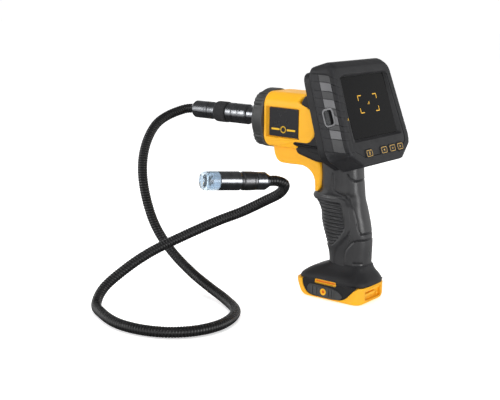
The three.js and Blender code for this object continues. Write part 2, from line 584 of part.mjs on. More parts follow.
function buildDock(parent) {
  const front = DISPLAY_DEPTH + GAP + 0.1;
  const outer = forward(displayOutline(3.2), front, front + DOCK_DEPTH);
  const clearance = 0.35;
  const railRoom = (half, w0, w1) => box(
    -half - clearance, half + clearance, w0, w1, RAIL.bottom - clearance, 60,
  );
  const neck = railRoom(RAIL.neck, front - 1, front + 3);
  const head = railRoom(RAIL.head, DISPLAY_DEPTH + 2.1, DISPLAY_DEPTH + 5);
  const contactWell = box(-6.5, 6.5, front - 1, front + 3, -48, -39);
  const { x, half, w0, w1, bottom, top, travel } = RELEASE;
  const releaseWell = box(x - half - GAP, x + half + GAP, w0 - GAP, w1 + GAP, bottom - travel - GAP, 60);
  const seat = (w0 + w1) / 2;
  add(parent, 'dock_frame', cut(outer, neck, head, contactWell, releaseWell), BLACK);
  add(parent, 'display_release', cut(
    box(x - half, x + half, w0, w1, bottom, top), post(1.7, x, seat, bottom - 1, bottom + 8 + travel),
  ), RUBBER);
  add(parent, 'release_spring', post(1.3, x, seat, bottom - travel, bottom + 7.6, 10), METAL);
  add(parent, 'dock_contacts', box(-6, 6, front, front + 2.6, -47.5, -39.5), BRASS);
}

function buildDisplay(parent) {
  const frame = screenFrame();
  parent.add(frame);
  const body = displayBody();
  buildBezel(frame, body);
  buildRearCover(frame, body);
  buildBumpers(frame, body);
  buildDock(frame);
}

// ---------------------------------------------------------------- gooseneck and camera head

function buildNeck(parent) {
  const curve = new THREE.CatmullRomCurve3(
    NECK_ROUTE.map((point) => new THREE.Vector3(...point)), false, 'centripetal',
  );
  const section = new THREE.Shape();
  for (let i = 0; i < NECK_SIDES; i += 1) {
    const angle = (i / NECK_SIDES) * Math.PI * 2;
    const point = [NECK_RADIUS * Math.cos(angle), NECK_RADIUS * Math.sin(angle)];
    if (i === 0) section.moveTo(...point);
    else section.lineTo(...point);
  }
  const tube = new THREE.ExtrudeGeometry(section, {
    steps: NECK_STEPS, extrudePath: curve, bevelEnabled: false,
  });
  add(parent, 'gooseneck_tube', solid(tube), RUBBER);
}

// The head is turned about its own +Y axis, which then points along HEAD_DIRECTION.
function buildHead(parent) {
  const head = new THREE.Group();
  head.position.set(...HEAD_START);
  head.quaternion.setFromUnitVectors(
    new THREE.Vector3(0, 1, 0), new THREE.Vector3(...HEAD_DIRECTION).normalize(),
  );
  parent.add(head);
  const r = HEAD_RADIUS;
  const at = (profile, segments = 24) => turned(profile, 0, segments);
  add(head, 'head_ferrule', at([
    [0, 0.4], [5.6, 0.4], [r - 0.4, 4.6], [r - 0.4, 14.2], [0, 14.2],
  ]), SATIN_BLACK);
  add(head, 'head_collar', at([
    [0, 14.5], [r, 14.5], [r, 26.4], [7.6, 27.2], [7.6, 29.2], [0, 29.2],
  ]), DARK_GREY);
  add(head, 'head_tube', at([
    [0, 29.5], [r, 30.2], [r, 50.6], [7, 50.6], [7, 33], [0, 33],
  ]), SATIN_BLACK);
  add(head, 'lamp_board', at([
    [4.2, 47], [6.6, 47], [6.6, 50], [4.2, 50], [4.2, 47],
  ]), BOARD);
  add(head, 'camera_module', at([
    [0, 34], [3.8, 34], [3.8, 54], [2.6, 56], [0, 56],
  ]), METAL);
  add(head, 'head_window', at([
    [4.6, 50.9], [r, 50.9], [r, 62.5], [7.4, 65.3], [5.6, HEAD_LENGTH], [0, HEAD_LENGTH],
    [0, 63.5], [4.6, 63.5], [4.6, 50.9],
  ]), CLEAR);
}

// ---------------------------------------------------------------- assembly

const inspectionCamera = new THREE.Group();
const tool = new THREE.Group();
tool.position.y = -FOOTPRINT_CENTRE_Y;
inspectionCamera.add(tool);

buildBarrel(tool);
buildNose(tool);
buildElectronics(tool);
buildGrip(tool, [grown(barrelSolid(), 0.35), displayRoom()]);
buildFoot(tool);
buildDisplay(tool);
buildNeck(tool);
buildHead(tool);
buildScrews(tool);

export default inspectionCamera;
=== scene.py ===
"""Looks of a cordless inspection camera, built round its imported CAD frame."""

import math
from functools import partial

import bmesh
import bpy
import numpy as np
from mathutils import Matrix, Quaternion, Vector


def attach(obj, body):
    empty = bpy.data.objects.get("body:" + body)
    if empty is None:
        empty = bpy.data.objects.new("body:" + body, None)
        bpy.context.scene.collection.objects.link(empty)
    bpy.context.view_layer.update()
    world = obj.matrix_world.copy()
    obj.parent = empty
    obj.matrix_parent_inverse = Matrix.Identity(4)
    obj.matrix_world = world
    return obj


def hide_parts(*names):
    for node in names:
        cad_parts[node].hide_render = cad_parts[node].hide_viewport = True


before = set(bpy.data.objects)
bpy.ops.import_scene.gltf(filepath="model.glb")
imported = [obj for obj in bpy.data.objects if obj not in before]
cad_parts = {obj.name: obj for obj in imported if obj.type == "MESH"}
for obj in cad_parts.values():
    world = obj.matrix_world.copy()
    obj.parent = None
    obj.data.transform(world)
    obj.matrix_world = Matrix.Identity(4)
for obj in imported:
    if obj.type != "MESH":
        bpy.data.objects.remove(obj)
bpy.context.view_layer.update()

# ---------------------------------------------------------------- frames and driving dimensions
# Lengths are millimetres in the drawing's frame until a piece is made, which is in metres.

MM = 0.001
FOOTPRINT_CENTRE_Y = 51.7
BARREL_AXIS_Z = 166.5

SCREEN_TILT = math.radians(18.6)
SCREEN_CENTRE = (0, -35, 187.6)
HEAD_START = (-84.9, 17.6, 121.9)
HEAD_DIRECTION = (-0.892, 0.444, 0.076)

TOOL = Matrix.Scale(MM, 4) @ Matrix.Translation((0, -FOOTPRINT_CENTRE_Y, 0))
SCREEN = TOOL @ Matrix.Translation(SCREEN_CENTRE) @ Matrix.Rotation(-SCREEN_TILT, 4, "X")
HEAD = (
    TOOL @ Matrix.Translation(HEAD_START)
    @ Vector((0, 1, 0)).rotation_difference(Vector(HEAD_DIRECTION)).to_matrix().to_4x4()
)
BARREL = TOOL @ Matrix.Translation((0, 0, BARREL_AXIS_Z))
SIDES = (("left", -1), ("right", 1))

NECK_RADIUS = 4.8
NECK_RIB_PITCH = 2.6
NECK_RIB_DEPTH = 0.45
NECK_ROUTE = [
    (0, 179.4, 166.5), (0, 183, 166.4), (-3, 189, 165.4), (-20, 197.5, 159.5), (-37, 199, 151.5),
    (-56, 195, 135), (-70, 187.5, 114.5), (-78, 177, 90), (-80.5, 162, 60), (-80.5, 142, 37.5),
    (-82, 113, 19.5), (-88, 84, 10.5), (-98, 55.5, 6), (-117, 29, 5.1), (-148, 17, 5.1),
    (-175, 21, 5.1), (-195, 36, 5.1), (-206, 58, 5.1), (-208, 86, 5.1), (-198, 116, 5.1),
    (-185.5, 137, 6.7), (-171, 142.5, 17), (-153, 132, 33.5), (-133, 119.5, 47.5), (-110, 101, 61),
    (-89, 76, 76), (-76.5, 54, 87), (-69.2, 35, 98), (-66.2, 17.8, 108.6), (-69.2, 11.5, 117),
    (-77.8, 14.05, 121.3), (-84.9, 17.6, 121.9),
]

# ---------------------------------------------------------------- camera


CAMERA_TARGET = (-0.0351, 0.0251, 0.0881)
CAMERA_DISTANCE = 0.978
CAMERA_TURNS = (-52.56, 12.04, 0.72)


def aim_camera():
    """A long lens, turned by an azimuth from the rear, an elevation and a roll, in degrees."""
    azimuth, elevation, roll = (math.radians(turn) for turn in CAMERA_TURNS)
    back = Vector((
        math.sin(azimuth) * math.cos(elevation),
        -math.cos(azimuth) * math.cos(elevation),
        math.sin(elevation),
    ))
    level = Vector((0, 0, 1)).cross(back).normalized()
    right = Quaternion(back, roll) @ level
    axes = Matrix((right, back.cross(right), back)).transposed()
    data = bpy.data.cameras.new("photo_camera")
    data.lens = 72
    data.sensor_width = 36
    data.clip_start = 0.01
    camera = bpy.data.objects.new("photo_camera", data)
    camera.matrix_world = Matrix.Translation(Vector(CAMERA_TARGET) + back * CAMERA_DISTANCE) @ axes.to_4x4()
    bpy.context.scene.collection.objects.link(camera)
    bpy.context.scene.camera = camera


aim_camera()

# ---------------------------------------------------------------- materials


SHADER_SOCKETS = {
    "colour": "Base Color", "roughness": "Roughness", "normal": "Normal", "metallic": "Metallic",
    "specular": "Specular IOR Level", "clearness": "Transmission Weight", "ior": "IOR",
    "glow": "Emission Color", "glow_strength": "Emission Strength",
}


class Nodes:
    """A short way to write a material's node tree."""

    def __init__(self, name):
        self.material = bpy.data.materials.new(name)
        self.material.use_nodes = True
        self.tree = self.material.node_tree
        self.shader = self.tree.nodes["Principled BSDF"]
        self.place = self.make("ShaderNodeTexCoord").outputs["Object"]

    def make(self, kind, **values):
        node = self.tree.nodes.new(kind)
        for key, value in values.items():
            setattr(node, key, value)
        return node

    def feed(self, socket, value):
        """A socket takes either another node's output or a plain value."""
        if isinstance(value, bpy.types.NodeSocket):
            self.tree.links.new(value, socket)
        else:
            socket.default_value = value

    def fix(self, **values):
        """Sets the shader's own constants: metallic=1 is its Metallic socket."""
        for key, value in values.items():
            self.feed(self.shader.inputs[SHADER_SOCKETS[key]], value)

    def noise(self, scale, detail=3):
        node = self.make("ShaderNodeTexNoise")
        self.feed(node.inputs["Vector"], self.place)
        for key, value in (("Scale", scale), ("Detail", detail), ("Roughness", 0.55)):
            node.inputs[key].default_value = value
        return node.outputs["Fac"]

    def cells(self, scale):
        node = self.make("ShaderNodeTexVoronoi")
        node.inputs["Scale"].default_value = scale
        self.feed(node.inputs["Vector"], self.place)
        return node.outputs["Distance"]

    def spread(self, value, low, high, start=0.3, end=0.7):
        """A value from start to end, stretched to run from low to high."""
        node = self.make("ShaderNodeMapRange")
        for key, number in (
            ("Value", value), ("From Min", start), ("From Max", end), ("To Min", low), ("To Max", high),
        ):
            self.feed(node.inputs[key], number)
        return node.outputs["Result"]

    def mix(self, factor, first, second):
        node = self.make("ShaderNodeMix", data_type="RGBA")
        for key, value in (("Factor", factor), ("A", first), ("B", second)):
            self.feed(node.inputs[key], value)
        return node.outputs["Result"]

    def shades(self, pattern, colour, dark, light):
        """A colour that wanders between two shades of itself."""
        return self.mix(self.spread(pattern, 0, 1), scaled(colour, dark), scaled(colour, light))

    def calc(self, operation, *values):
        node = self.make("ShaderNodeMath", operation=operation)
        for socket, value in zip(node.inputs, values):
            self.feed(socket, value)
        return node.outputs[0]

    def bump(self, height, strength, distance):
        node = self.make("ShaderNodeBump")
        for key, value in (("Strength", strength), ("Distance", distance), ("Height", height)):
            self.feed(node.inputs[key], value)
        return node.outputs["Normal"]

    def edges(self, start=0.52, end=0.6):
        pointiness = self.make("ShaderNodeNewGeometry").outputs["Pointiness"]
        return self.spread(pointiness, 0.0, 1.0, start, end)

    def finish(self, **outputs):
        """Joins the patterns to the shader and hands over the material."""
        self.fix(**outputs)
        return self.material


def tone(red, green, blue):
    """An sRGB colour, 0 to 255, as a linear one."""
    def linear(value):
        value /= 255
        return value / 12.92 if value <= 0.04045 else ((value + 0.055) / 1.055) ** 2.4
    return (linear(red), linear(green), linear(blue), 1)


def scaled(colour, factor):
    return tuple(min(1, c * factor) for c in colour[:3]) + (1,)


def plastic(name, colour, roughness, specular=0.4, grain=0.2, edge_sheen=0.25, contrast=0.1):
    """Moulded plastic: cloudy colour, a fine spark-eroded grain, and a painted highlight along its edges.
    """
    n = Nodes(name)
    body = n.shades(n.noise(55, 4), colour, 1 - contrast, 1 + contrast)
    n.fix(specular=specular)
    return n.finish(
        colour=n.mix(n.spread(n.edges(), 0, edge_sheen, 0, 1), body, scaled(colour, 1.9)),
        roughness=n.spread(n.noise(140), roughness - 0.05, roughness + 0.06),
        normal=n.bump(n.noise(2600, 2), grain, 0.0001),
    )


def rubber(name, colour, roughness=0.62, specular=0.35, edge_sheen=0.3):
    """Soft overmoulding: a pebbled skin, with a painted highlight on its edges and painted shade in its
    creases.
    """
    n = Nodes(name)
    cloud = n.noise(70, 5)
    body = n.shades(cloud, colour, 0.88, 1.12)
    # Edges painted paler: a painted highlight.
    edge_lit = n.mix(n.spread(n.edges(), 0, edge_sheen, 0, 1), body, scaled(colour, 4))
    n.fix(specular=specular)
    return n.finish(
        # Creases painted darker: painted shade.
        colour=n.mix(n.edges(0.485, 0.42), edge_lit, scaled(colour, 0.3)),
        roughness=n.spread(cloud, roughness - 0.07, roughness + 0.07),
        normal=n.bump(n.cells(1900), 0.22, 0.00012),
    )


def metal(name, colour, roughness):
    """Bare metal with turning marks and a little tarnish."""
    n = Nodes(name)
    n.fix(metallic=1)
    return n.finish(
        colour=n.shades(n.noise(220, 4), colour, 0.86, 1.06),
        roughness=n.spread(n.noise(900, 2), roughness - 0.06, roughness + 0.1),
        normal=n.bump(n.noise(2400, 1), 0.12, 0.00005),
    )


def anodised(name, colour, roughness, specular=0.6, metallic=0.0):
    """Black anodised aluminium under a thin clear film."""
    n = Nodes(name)
    body = n.shades(n.noise(160, 4), colour, 0.8, 1.25)
    n.fix(metallic=metallic, specular=specular)
    return n.finish(
        # Edges painted paler towards grey: a painted highlight.
        colour=n.mix(n.spread(n.edges(0.53, 0.62), 0, 0.2, 0, 1), body, tone(150, 150, 152)),
        roughness=n.spread(n.noise(420), roughness - 0.04, roughness + 0.05),
        normal=n.bump(n.noise(3200, 2), 0.12, 0.00008),
    )


def knurled(name, colour):
    """A fine diamond knurl: two slanted waves crossed round the coupling's axis."""
    n = Nodes(name)
    split = n.make("ShaderNodeSeparateXYZ")
    n.feed(split.inputs[0], n.place)
    x, y, z = split.outputs
    angle = n.calc("ARCTAN2", x, n.calc("SUBTRACT", z, BARREL_AXIS_Z * MM))
    turns, along = 48, 4400
    waves = [
        n.calc("SINE", n.calc("MULTIPLY_ADD", y, along, n.calc("MULTIPLY", angle, turns * lean)))
        for lean in (1, -1)
    ]
    cover = n.spread(n.calc("MULTIPLY", *waves), 0, 1, -1, 1)
    n.fix(specular=0.5)
    return n.finish(
        # The colour follows the knurl's relief, darker in its grooves and paler on its crests: painted
        # shade and painted highlight.
        colour=n.mix(cover, scaled(colour, 0.6), scaled(colour, 1.7)),
        roughness=n.spread(n.noise(500), 0.38, 0.52),
        normal=n.bump(cover, 0.7, 0.0004),
    )


def clear(name, colour, roughness=0.04):
    """Clear moulded plastic with faint clouding."""
    n = Nodes(name)
    n.fix(clearness=0.92, ior=1.46)
    return n.finish(
        colour=n.shades(n.noise(120), colour, 0.96, 1),
        roughness=n.spread(n.noise(300, 2), roughness, roughness + 0.04),
    )


def glowing(name, colour, strength):
    """A small lamp or lit mark with a faintly uneven glow."""
    n = Nodes(name)
    body = n.shades(n.noise(900, 2), colour, 0.9, 1)
    n.fix(glow=body, glow_strength=strength)
    return n.finish(colour=body, roughness=n.spread(n.noise(500, 2), 0.3, 0.4))


def printed_board(name):
    """A green board with paler tracks."""
    n = Nodes(name)
    tracks = n.make("ShaderNodeTexBrick")
    for key, value in (
        ("Vector", n.place), ("Scale", 240), ("Color1", tone(28, 92, 52)), ("Color2", tone(24, 80, 46)),
        ("Mortar", tone(52, 128, 78)),
    ):
        n.feed(tracks.inputs[key], value)
    return n.finish(
        colour=tracks.outputs["Color"],
        roughness=n.spread(n.noise(300, 2), 0.35, 0.5),
        normal=n.bump(tracks.outputs["Fac"], 0.3, 0.0001),
    )


YELLOW = plastic("yellow_abs", tone(249, 180, 28), 0.36, 0.4, edge_sheen=0.06, contrast=0.035)
RUBBER = rubber("soft_black_rubber", tone(42, 42, 44))
BUMPER = rubber("bumper_rubber", tone(38, 38, 40), 0.5, 0.35, edge_sheen=0.8)
# The nose ring's rubber is the common rubber painted lighter: a painted highlight for the light its front
# catches.
LIT_NOSE_RUBBER = rubber("nose_rubber_painted_lighter", tone(56, 57, 57), 0.42, 0.5, edge_sheen=0.8)
GRIP = rubber("grip_rubber", tone(41, 41, 43), 0.33, 0.8, edge_sheen=0.6)
SKIRT = rubber("skirt_rubber", tone(39, 39, 41), 0.5, 0.3)
BLACK = plastic("black_abs", tone(33, 33, 35), 0.45, 0.35)
# The three tile greys are partly the tiles' own grey and partly painted light and shade, for how the tilted
# tiles catch the light.
TILE = plastic("tile_grey", tone(106, 106, 108), 0.5, 0.4, edge_sheen=0.1)
TILE_MID = plastic("tile_mid_grey", tone(72, 72, 73), 0.52, 0.35, edge_sheen=0.1)
TILE_DARK = plastic("tile_dark_grey", tone(48, 48, 50), 0.55, 0.3, edge_sheen=0.1)
DARK_GREY = plastic("dark_grey_abs", tone(66, 67, 68), 0.42, 0.4)
LIGHT_GREY = plastic("light_grey_abs", tone(118, 118, 120), 0.4, 0.45, edge_sheen=0.1)
PLATE = plastic("plate_black", tone(30, 30, 33), 0.25, 0.35, edge_sheen=0.1)
ANODISED = anodised("black_anodised", tone(150, 152, 156), 0.2, metallic=1)
COLLAR = anodised("collar_anodised", tone(120, 120, 122), 0.34, metallic=1)
KNURL = knurled("knurled_nut", tone(40, 40, 42))
NECK = anodised("gooseneck_black", tone(16, 16, 17), 0.26, 0.62)
SCREEN_GLASS = plastic("screen_glass", tone(14, 14, 15), 0.12, 0.08, grain=0.008, edge_sheen=0, contrast=0.04)
WINDOW = clear("clear_window", tone(214, 230, 242))
LENS = plastic("lens_coating", tone(30, 40, 62), 0.06, 0.8, grain=0.008, edge_sheen=0)
LAMP = glowing("lamp_white", tone(214, 222, 234), 0.25)
MARK = glowing("screen_mark", tone(222, 170, 48), 0.35)
PRINT = plastic("cream_print", tone(210, 170, 92), 0.5, 0.3, edge_sheen=0)
YELLOW_PRINT = plastic("yellow_print", tone(240, 190, 40), 0.45, 0.3, edge_sheen=0)
BOARD = printed_board("circuit_board")
STEEL = metal("steel", tone(186, 188, 192), 0.3)
BRASS = metal("brass_parts", tone(205, 165, 80), 0.32)
# Orange is yellow painted darker: painted shade, used for the slot floors and the boss holes.
SHADED_YELLOW = plastic("yellow_painted_shade", tone(226, 116, 28), 0.5, 0.3, edge_sheen=0.05, contrast=0.12)

# ---------------------------------------------------------------- surfaces
# A shape is (points, faces) in millimetres. grid() is the one that everything is made from.


def grid(rows, closed=True, start=True, end=True, ladder=False):
    """The surface through rows of points. Rows close on themselves, and one face closes each end.
    A ladder closes the ends with strips instead, where the ends aren't flat."""
    rows = np.asarray(rows, float)
    count, width, _ = rows.shape
    points = [tuple(p) for p in rows.reshape(-1, 3)]
    faces = []
    for i in range(count - 1):
        for j in range(width if closed else width - 1):
            k = (j + 1) % width
            faces.append((i * width + j, i * width + k, (i + 1) * width + k, (i + 1) * width + j))
    for row, wanted in ((0, start), (count - 1, end)):
        first = row * width
        if wanted and ladder:
            for j in range(width // 2 - 1):
                k = width - 1 - j
                faces.append((first + j, first + j + 1, first + k - 1, first + k))
        elif wanted:
            faces.append(tuple(range(first, first + width)))
    return points, faces


def lathe(profile, segments=64, ripple=None):
    """A turned shape about +Y: profile points are (radius, y). ripple(angle, y) scales the radius."""
    rows = []
    for radius, y in profile:
        row = []
        for j in range(segments):
            a = 2 * math.pi * j / segments
            r = radius * (ripple(a, y) if ripple else 1)
            row.append((r * math.cos(a), y, r * math.sin(a)))
        rows.append(row)
    hollow = tuple(profile[0]) == tuple(profile[-1])
    return grid(rows, start=not hollow, end=not hollow)


def turned(profile, edge, steps=3, segments=64, hollow=False, ripple=None):
    """A turned shape with its corners rounded. A hollow one's profile closes on itself."""
    line = rounded(profile, edge, steps, closed=False)
    return lathe(line + line[:1] if hollow else line, segments, ripple)


def rounded(points, radius, steps=5, closed=True):
    """An outline with its corners turned into short arcs."""
    pts = [np.array(p, float) for p in points]
    count = len(pts)
    out = []
    for i, corner in enumerate(pts):
        if not closed and i in (0, count - 1):
            out.append(corner)
            continue
        before, after = pts[i - 1] - corner, pts[(i + 1) % count] - corner
        size_b, size_a = np.linalg.norm(before), np.linalg.norm(after)
        reach = min(radius, 0.48 * size_b, 0.48 * size_a)
        first, last = corner + before / size_b * reach, corner + after / size_a * reach
        for t in np.linspace(0, 1, steps + 1):
            out.append((1 - t) ** 2 * first + 2 * t * (1 - t) * corner + t ** 2 * last)
    return [tuple(p) for p in out]


def inset(points, distance):
    """A closed outline moved inwards, or outwards where the distance is negative."""
    p = np.asarray(points, float)
    area = np.sum(p[:, 0] * np.roll(p[:, 1], -1) - p[:, 1] * np.roll(p[:, 0], -1))
    side = 1 if area > 0 else -1
    edge = np.roll(p, -1, 0) - p
    edge /= np.maximum(np.linalg.norm(edge, axis=1, keepdims=True), 1e-9)
    normal = np.stack([-edge[:, 1], edge[:, 0]], 1) * side
    both = normal + np.roll(normal, 1, 0)
    both /= np.maximum(np.linalg.norm(both, axis=1, keepdims=True), 1e-9)
    miter = 1 / np.clip((both * normal).sum(1), 0.5, 1)
    return p + both * (miter * distance)[:, None]


def across(u, v, depth):
    """Outline in (y, z), depth along x."""
    return (depth, u, v)


def onward(u, v, depth):
    """Outline in (x, z), depth along y."""
    return (u, depth, v)


def upward(u, v, depth):
    """Outline in (x, y), depth along z."""
    return (u, v, depth)


def rim(radius, steps=4):
    """(inset, depth) of a rounded edge, from the cap to the side."""
    turns = [math.pi / 2 * i / steps for i in range(steps + 1)]
    return [(radius * (1 - math.sin(a)), radius * (1 - math.cos(a))) for a in turns]


def slab(points, low, high, place, low_rim=0.6, high_rim=0.6, steps=4):
    """An outline given thickness, with rounded rims."""
    rows = []
    for distance, depth in rim(low_rim, steps):
        rows.append([place(u, v, low + depth) for u, v in inset(points, distance)])
    for distance, depth in reversed(rim(high_rim, steps)):
        rows.append([place(u, v, high - depth) for u, v in inset(points, distance)])
    return grid(rows)


def rectangle(a0, a1, b0, b1, radius=1.0, steps=5):
    return rounded([(a0, b0), (a1, b0), (a1, b1), (a0, b1)], radius, steps)


def round_square(half, radius, steps=10):
    """A square with true quarter circles for corners."""
    out = []
    for quarter in range(4):
        middle = math.pi / 4 + quarter * math.pi / 2
        ca = math.copysign(half - radius, math.cos(middle))
        cb = math.copysign(half - radius, math.sin(middle))
        for t in np.linspace(quarter * math.pi / 2, (quarter + 1) * math.pi / 2, steps + 1):
            out.append((ca + radius * math.cos(t), cb + radius * math.sin(t)))
    return out


def circle(radius, a=0.0, b=0.0, segments=32):
    turns = [2 * math.pi * i / segments for i in range(segments)]
    return [(a + radius * math.cos(t), b + radius * math.sin(t)) for t in turns]


def mirrored(shape):
    points, faces = shape
    return [(-x, y, z) for x, y, z in points], faces


def level_faces(made):
    """Lets the broad faces rule the shading, so that flat caps stay flat next to rounded rims."""
    modifier = made.modifiers.new("level_faces", "WEIGHTED_NORMAL")
    modifier.keep_sharp = True


def solid(name, shapes, materials, place, sharp, paint=None):
    """One mesh object of these shapes. paint(centre) gives a face's material slot, in millimetres."""
    bm = bmesh.new()
    for points, faces in shapes:
        verts = [bm.verts.new(p) for p in points]
        for face in faces:
            bm.faces.new([verts[i] for i in face])
    bmesh.ops.remove_doubles(bm, verts=bm.verts, dist=1e-4)
    bmesh.ops.dissolve_degenerate(bm, edges=bm.edges, dist=1e-5)
    bmesh.ops.recalc_face_normals(bm, faces=bm.faces)
    if paint:
        for face in bm.faces:
            face.material_index = paint(face.calc_center_median())
    bm.transform(place)
    mesh = bpy.data.meshes.new(name)
    bm.to_mesh(mesh)
    bm.free()
    for material in materials:
        mesh.materials.append(material)
    mesh.shade_smooth()
    mesh.set_sharp_from_angle(angle=math.radians(sharp))
    made = bpy.data.objects.new(name, mesh)
    bpy.context.scene.collection.objects.link(made)
    level_faces(made)
    return made


def piece(name, shapes, material, body="tool", place=TOOL, slot=None, stands_for=(), sharp=38, paint=None):
    """A solid that rides a body, and that may stand in for nodes of the CAD frame."""
    shapes = [shapes] if isinstance(shapes, tuple) else shapes
    materials = material if isinstance(material, list) else [material]
    made = solid(name, shapes, materials, place, sharp, paint)
    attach(made, body)
    if stands_for:
        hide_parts(*stands_for)
    return made


def carve(made, shapes, place=TOOL, sharp=38):
    """Cuts closed shapes out of a piece, one after another."""
    made.modifiers.clear()
    for index, shape in enumerate(shapes):
        cutter = solid(f"cutter_{index}", [shape], [made.data.materials[0]], place, 38)
        modifier = made.modifiers.new("carve", "BOOLEAN")
        modifier.operation = "DIFFERENCE"
        modifier.solver = "EXACT"
        modifier.object = cutter
        bpy.context.view_layer.update()
        result = bpy.data.meshes.new_from_object(made.evaluated_get(bpy.context.evaluated_depsgraph_get()))
        made.modifiers.clear()
        made.data = result
        bpy.data.objects.remove(cutter)
    made.data.shade_smooth()
    made.data.set_sharp_from_angle(angle=math.radians(sharp))
    level_faces(made)


barrel_piece = partial(piece, place=BARREL)
head_piece = partial(piece, place=HEAD)
screen_piece = partial(piece, body="display", place=SCREEN)


# ---------------------------------------------------------------- gooseneck


def spline(points, step):
    """Centripetal Catmull-Rom through the points, sampled every step."""
    p = [np.array(q, float) for q in points]
    p = [2 * p[0] - p[1], *p, 2 * p[-1] - p[-2]]
    fine = []
    for p0, p1, p2, p3 in zip(p, p[1:], p[2:], p[3:]):
        t0 = 0.0
        t1 = t0 + np.linalg.norm(p1 - p0) ** 0.5
        t2 = t1 + np.linalg.norm(p2 - p1) ** 0.5
        t3 = t2 + np.linalg.norm(p3 - p2) ** 0.5
        for t in np.linspace(t1, t2, 40, endpoint=False):
            a1 = (t1 - t) / (t1 - t0) * p0 + (t - t0) / (t1 - t0) * p1
            a2 = (t2 - t) / (t2 - t1) * p1 + (t - t1) / (t2 - t1) * p2
            a3 = (t3 - t) / (t3 - t2) * p2 + (t - t2) / (t3 - t2) * p3
            b1 = (t2 - t) / (t2 - t0) * a1 + (t - t0) / (t2 - t0) * a2
            b2 = (t3 - t) / (t3 - t1) * a2 + (t - t1) / (t3 - t1) * a3
            fine.append((t2 - t) / (t2 - t1) * b1 + (t - t1) / (t2 - t1) * b2)
    fine.append(p[-2])
    fine = np.array(fine)
    walked = np.concatenate([[0], np.cumsum(np.linalg.norm(np.diff(fine, axis=0), axis=1))])
    count = int(round(walked[-1] / step))
    marks = np.linspace(0, walked[-1], count + 1)
    return np.stack([np.interp(marks, walked, column) for column in fine.T], 1)


def tube_rows(path, radii, segments):
    """Rings round a path, carried along it without twisting."""
    tangents = np.gradient(path, axis=0)
    tangents /= np.linalg.norm(tangents, axis=1, keepdims=True)
    side = np.cross(tangents[0], (0, 0, 1))
    side /= np.linalg.norm(side)
    turns = np.linspace(0, 2 * math.pi, segments, endpoint=False)
    rows = []
    for centre, along, radius in zip(path, tangents, radii):
        side = side - along * (side @ along)
        side /= np.linalg.norm(side)
        up = np.cross(along, side)
        rows.append(centre + radius * (np.outer(np.cos(turns), side) + np.outer(np.sin(turns), up)))
    return rows


def build_neck():
    steps_per_rib = 5
    path = spline(NECK_ROUTE, NECK_RIB_PITCH / steps_per_rib)
    groove = (0, 0.1, 1, 0.1, 0)
    radii = [NECK_RADIUS - NECK_RIB_DEPTH * groove[i % steps_per_rib] for i in range(len(path))]
    shape = grid(tube_rows(path, radii, 20))
    neck = piece("gooseneck", shape, NECK, stands_for=["gooseneck_tube"], sharp=60)


# ---------------------------------------------------------------- connector


def build_connector():
    """The socket, nut, plug and cable ferrule, in line on the barrel's axis."""
    socket = turned([
        (0, 61.8), (13, 61.8), (13, 65.9), (8.1, 65.9), (8.1, 104), (9.2, 104.6), (10.1, 105.8),
        (10.1, 113.6), (9.7, 113.9), (9.7, 114.7), (10.1, 115), (10.1, 120.6), (9.2, 121.1),
        (9.2, 122.5), (10.1, 123), (10.1, 129.7), (9.1, 131), (0, 131),
    ], 0.35, segments=72)
    barrel_piece("socket_barrel", socket, ANODISED, stands_for=["socket_body"])
    seal = turned(
        [(8.3, 90), (10.2, 90), (10.6, 90.5), (10.6, 91.5), (10.2, 92), (8.3, 92)], 0.3,
        segments=56, hollow=True,
    )
    barrel_piece("seal_ring", seal, RUBBER, stands_for=["socket_seal"])

    def knurl(angle, y):
        return 1 + 0.012 * math.cos(36 * angle) if 132.9 < y < 144.2 else 1

    nut = turned([
        (7.4, 131.4), (9.9, 131.4), (10.4, 132.2), (10.4, 132.8), (10.45, 133.2), (10.45, 144),
        (10.4, 144.4), (10.4, 145), (9.8, 145.7), (7.4, 145.7),
    ], 0.2, 2, 144, hollow=True, ripple=knurl)
    barrel_piece("coupling_collar", nut, KNURL, body="coupling_ring", stands_for=["coupling_nut"])
    plug = turned([
        (0, 131.4), (7.1, 131.4), (7.1, 146), (8.9, 146), (8.9, 148.8), (8, 149.4), (8, 151.6),
        (8.9, 152.2), (8.9, 154.8), (8.2, 155.5), (0, 155.5),
    ], 0.3)
    barrel_piece("plug_barrel", plug, ANODISED, stands_for=["plug_body"])
    ferrule = turned([
        (0, 155.8), (8.4, 155.8), (8.9, 156.6), (8.9, 158.4), (8.6, 158.7), (8.6, 159.5), (8.9, 159.8),
        (8.9, 174.2), (5.6, 178.6), (5.3, 179), (0, 179),
    ], 0.5, 4)
    return barrel_piece("neck_ferrule", ferrule, ANODISED, stands_for=["cable_ferrule"])


# ---------------------------------------------------------------- nose

NOSE = {"half": 26.3, "corner": 14, "fillet": 3.6, "back": 69.1, "front": 82.7, "bore": 11.4}


def shoulder_notches(angle, y):
    """How far in the finger notches on the ring's four shoulders reach, in millimetres."""
    shoulder = (angle - math.pi / 4) % (math.pi / 2)
    shoulder = min(shoulder, math.pi / 2 - shoulder)
    near = max(max(0, 1 - ((shoulder - k) / 0.032) ** 2) for k in (0.0, 0.13, 0.26))
    return 0.8 * near * min(max((y - NOSE["back"] - 1.7) / 1.5, 0), 1)


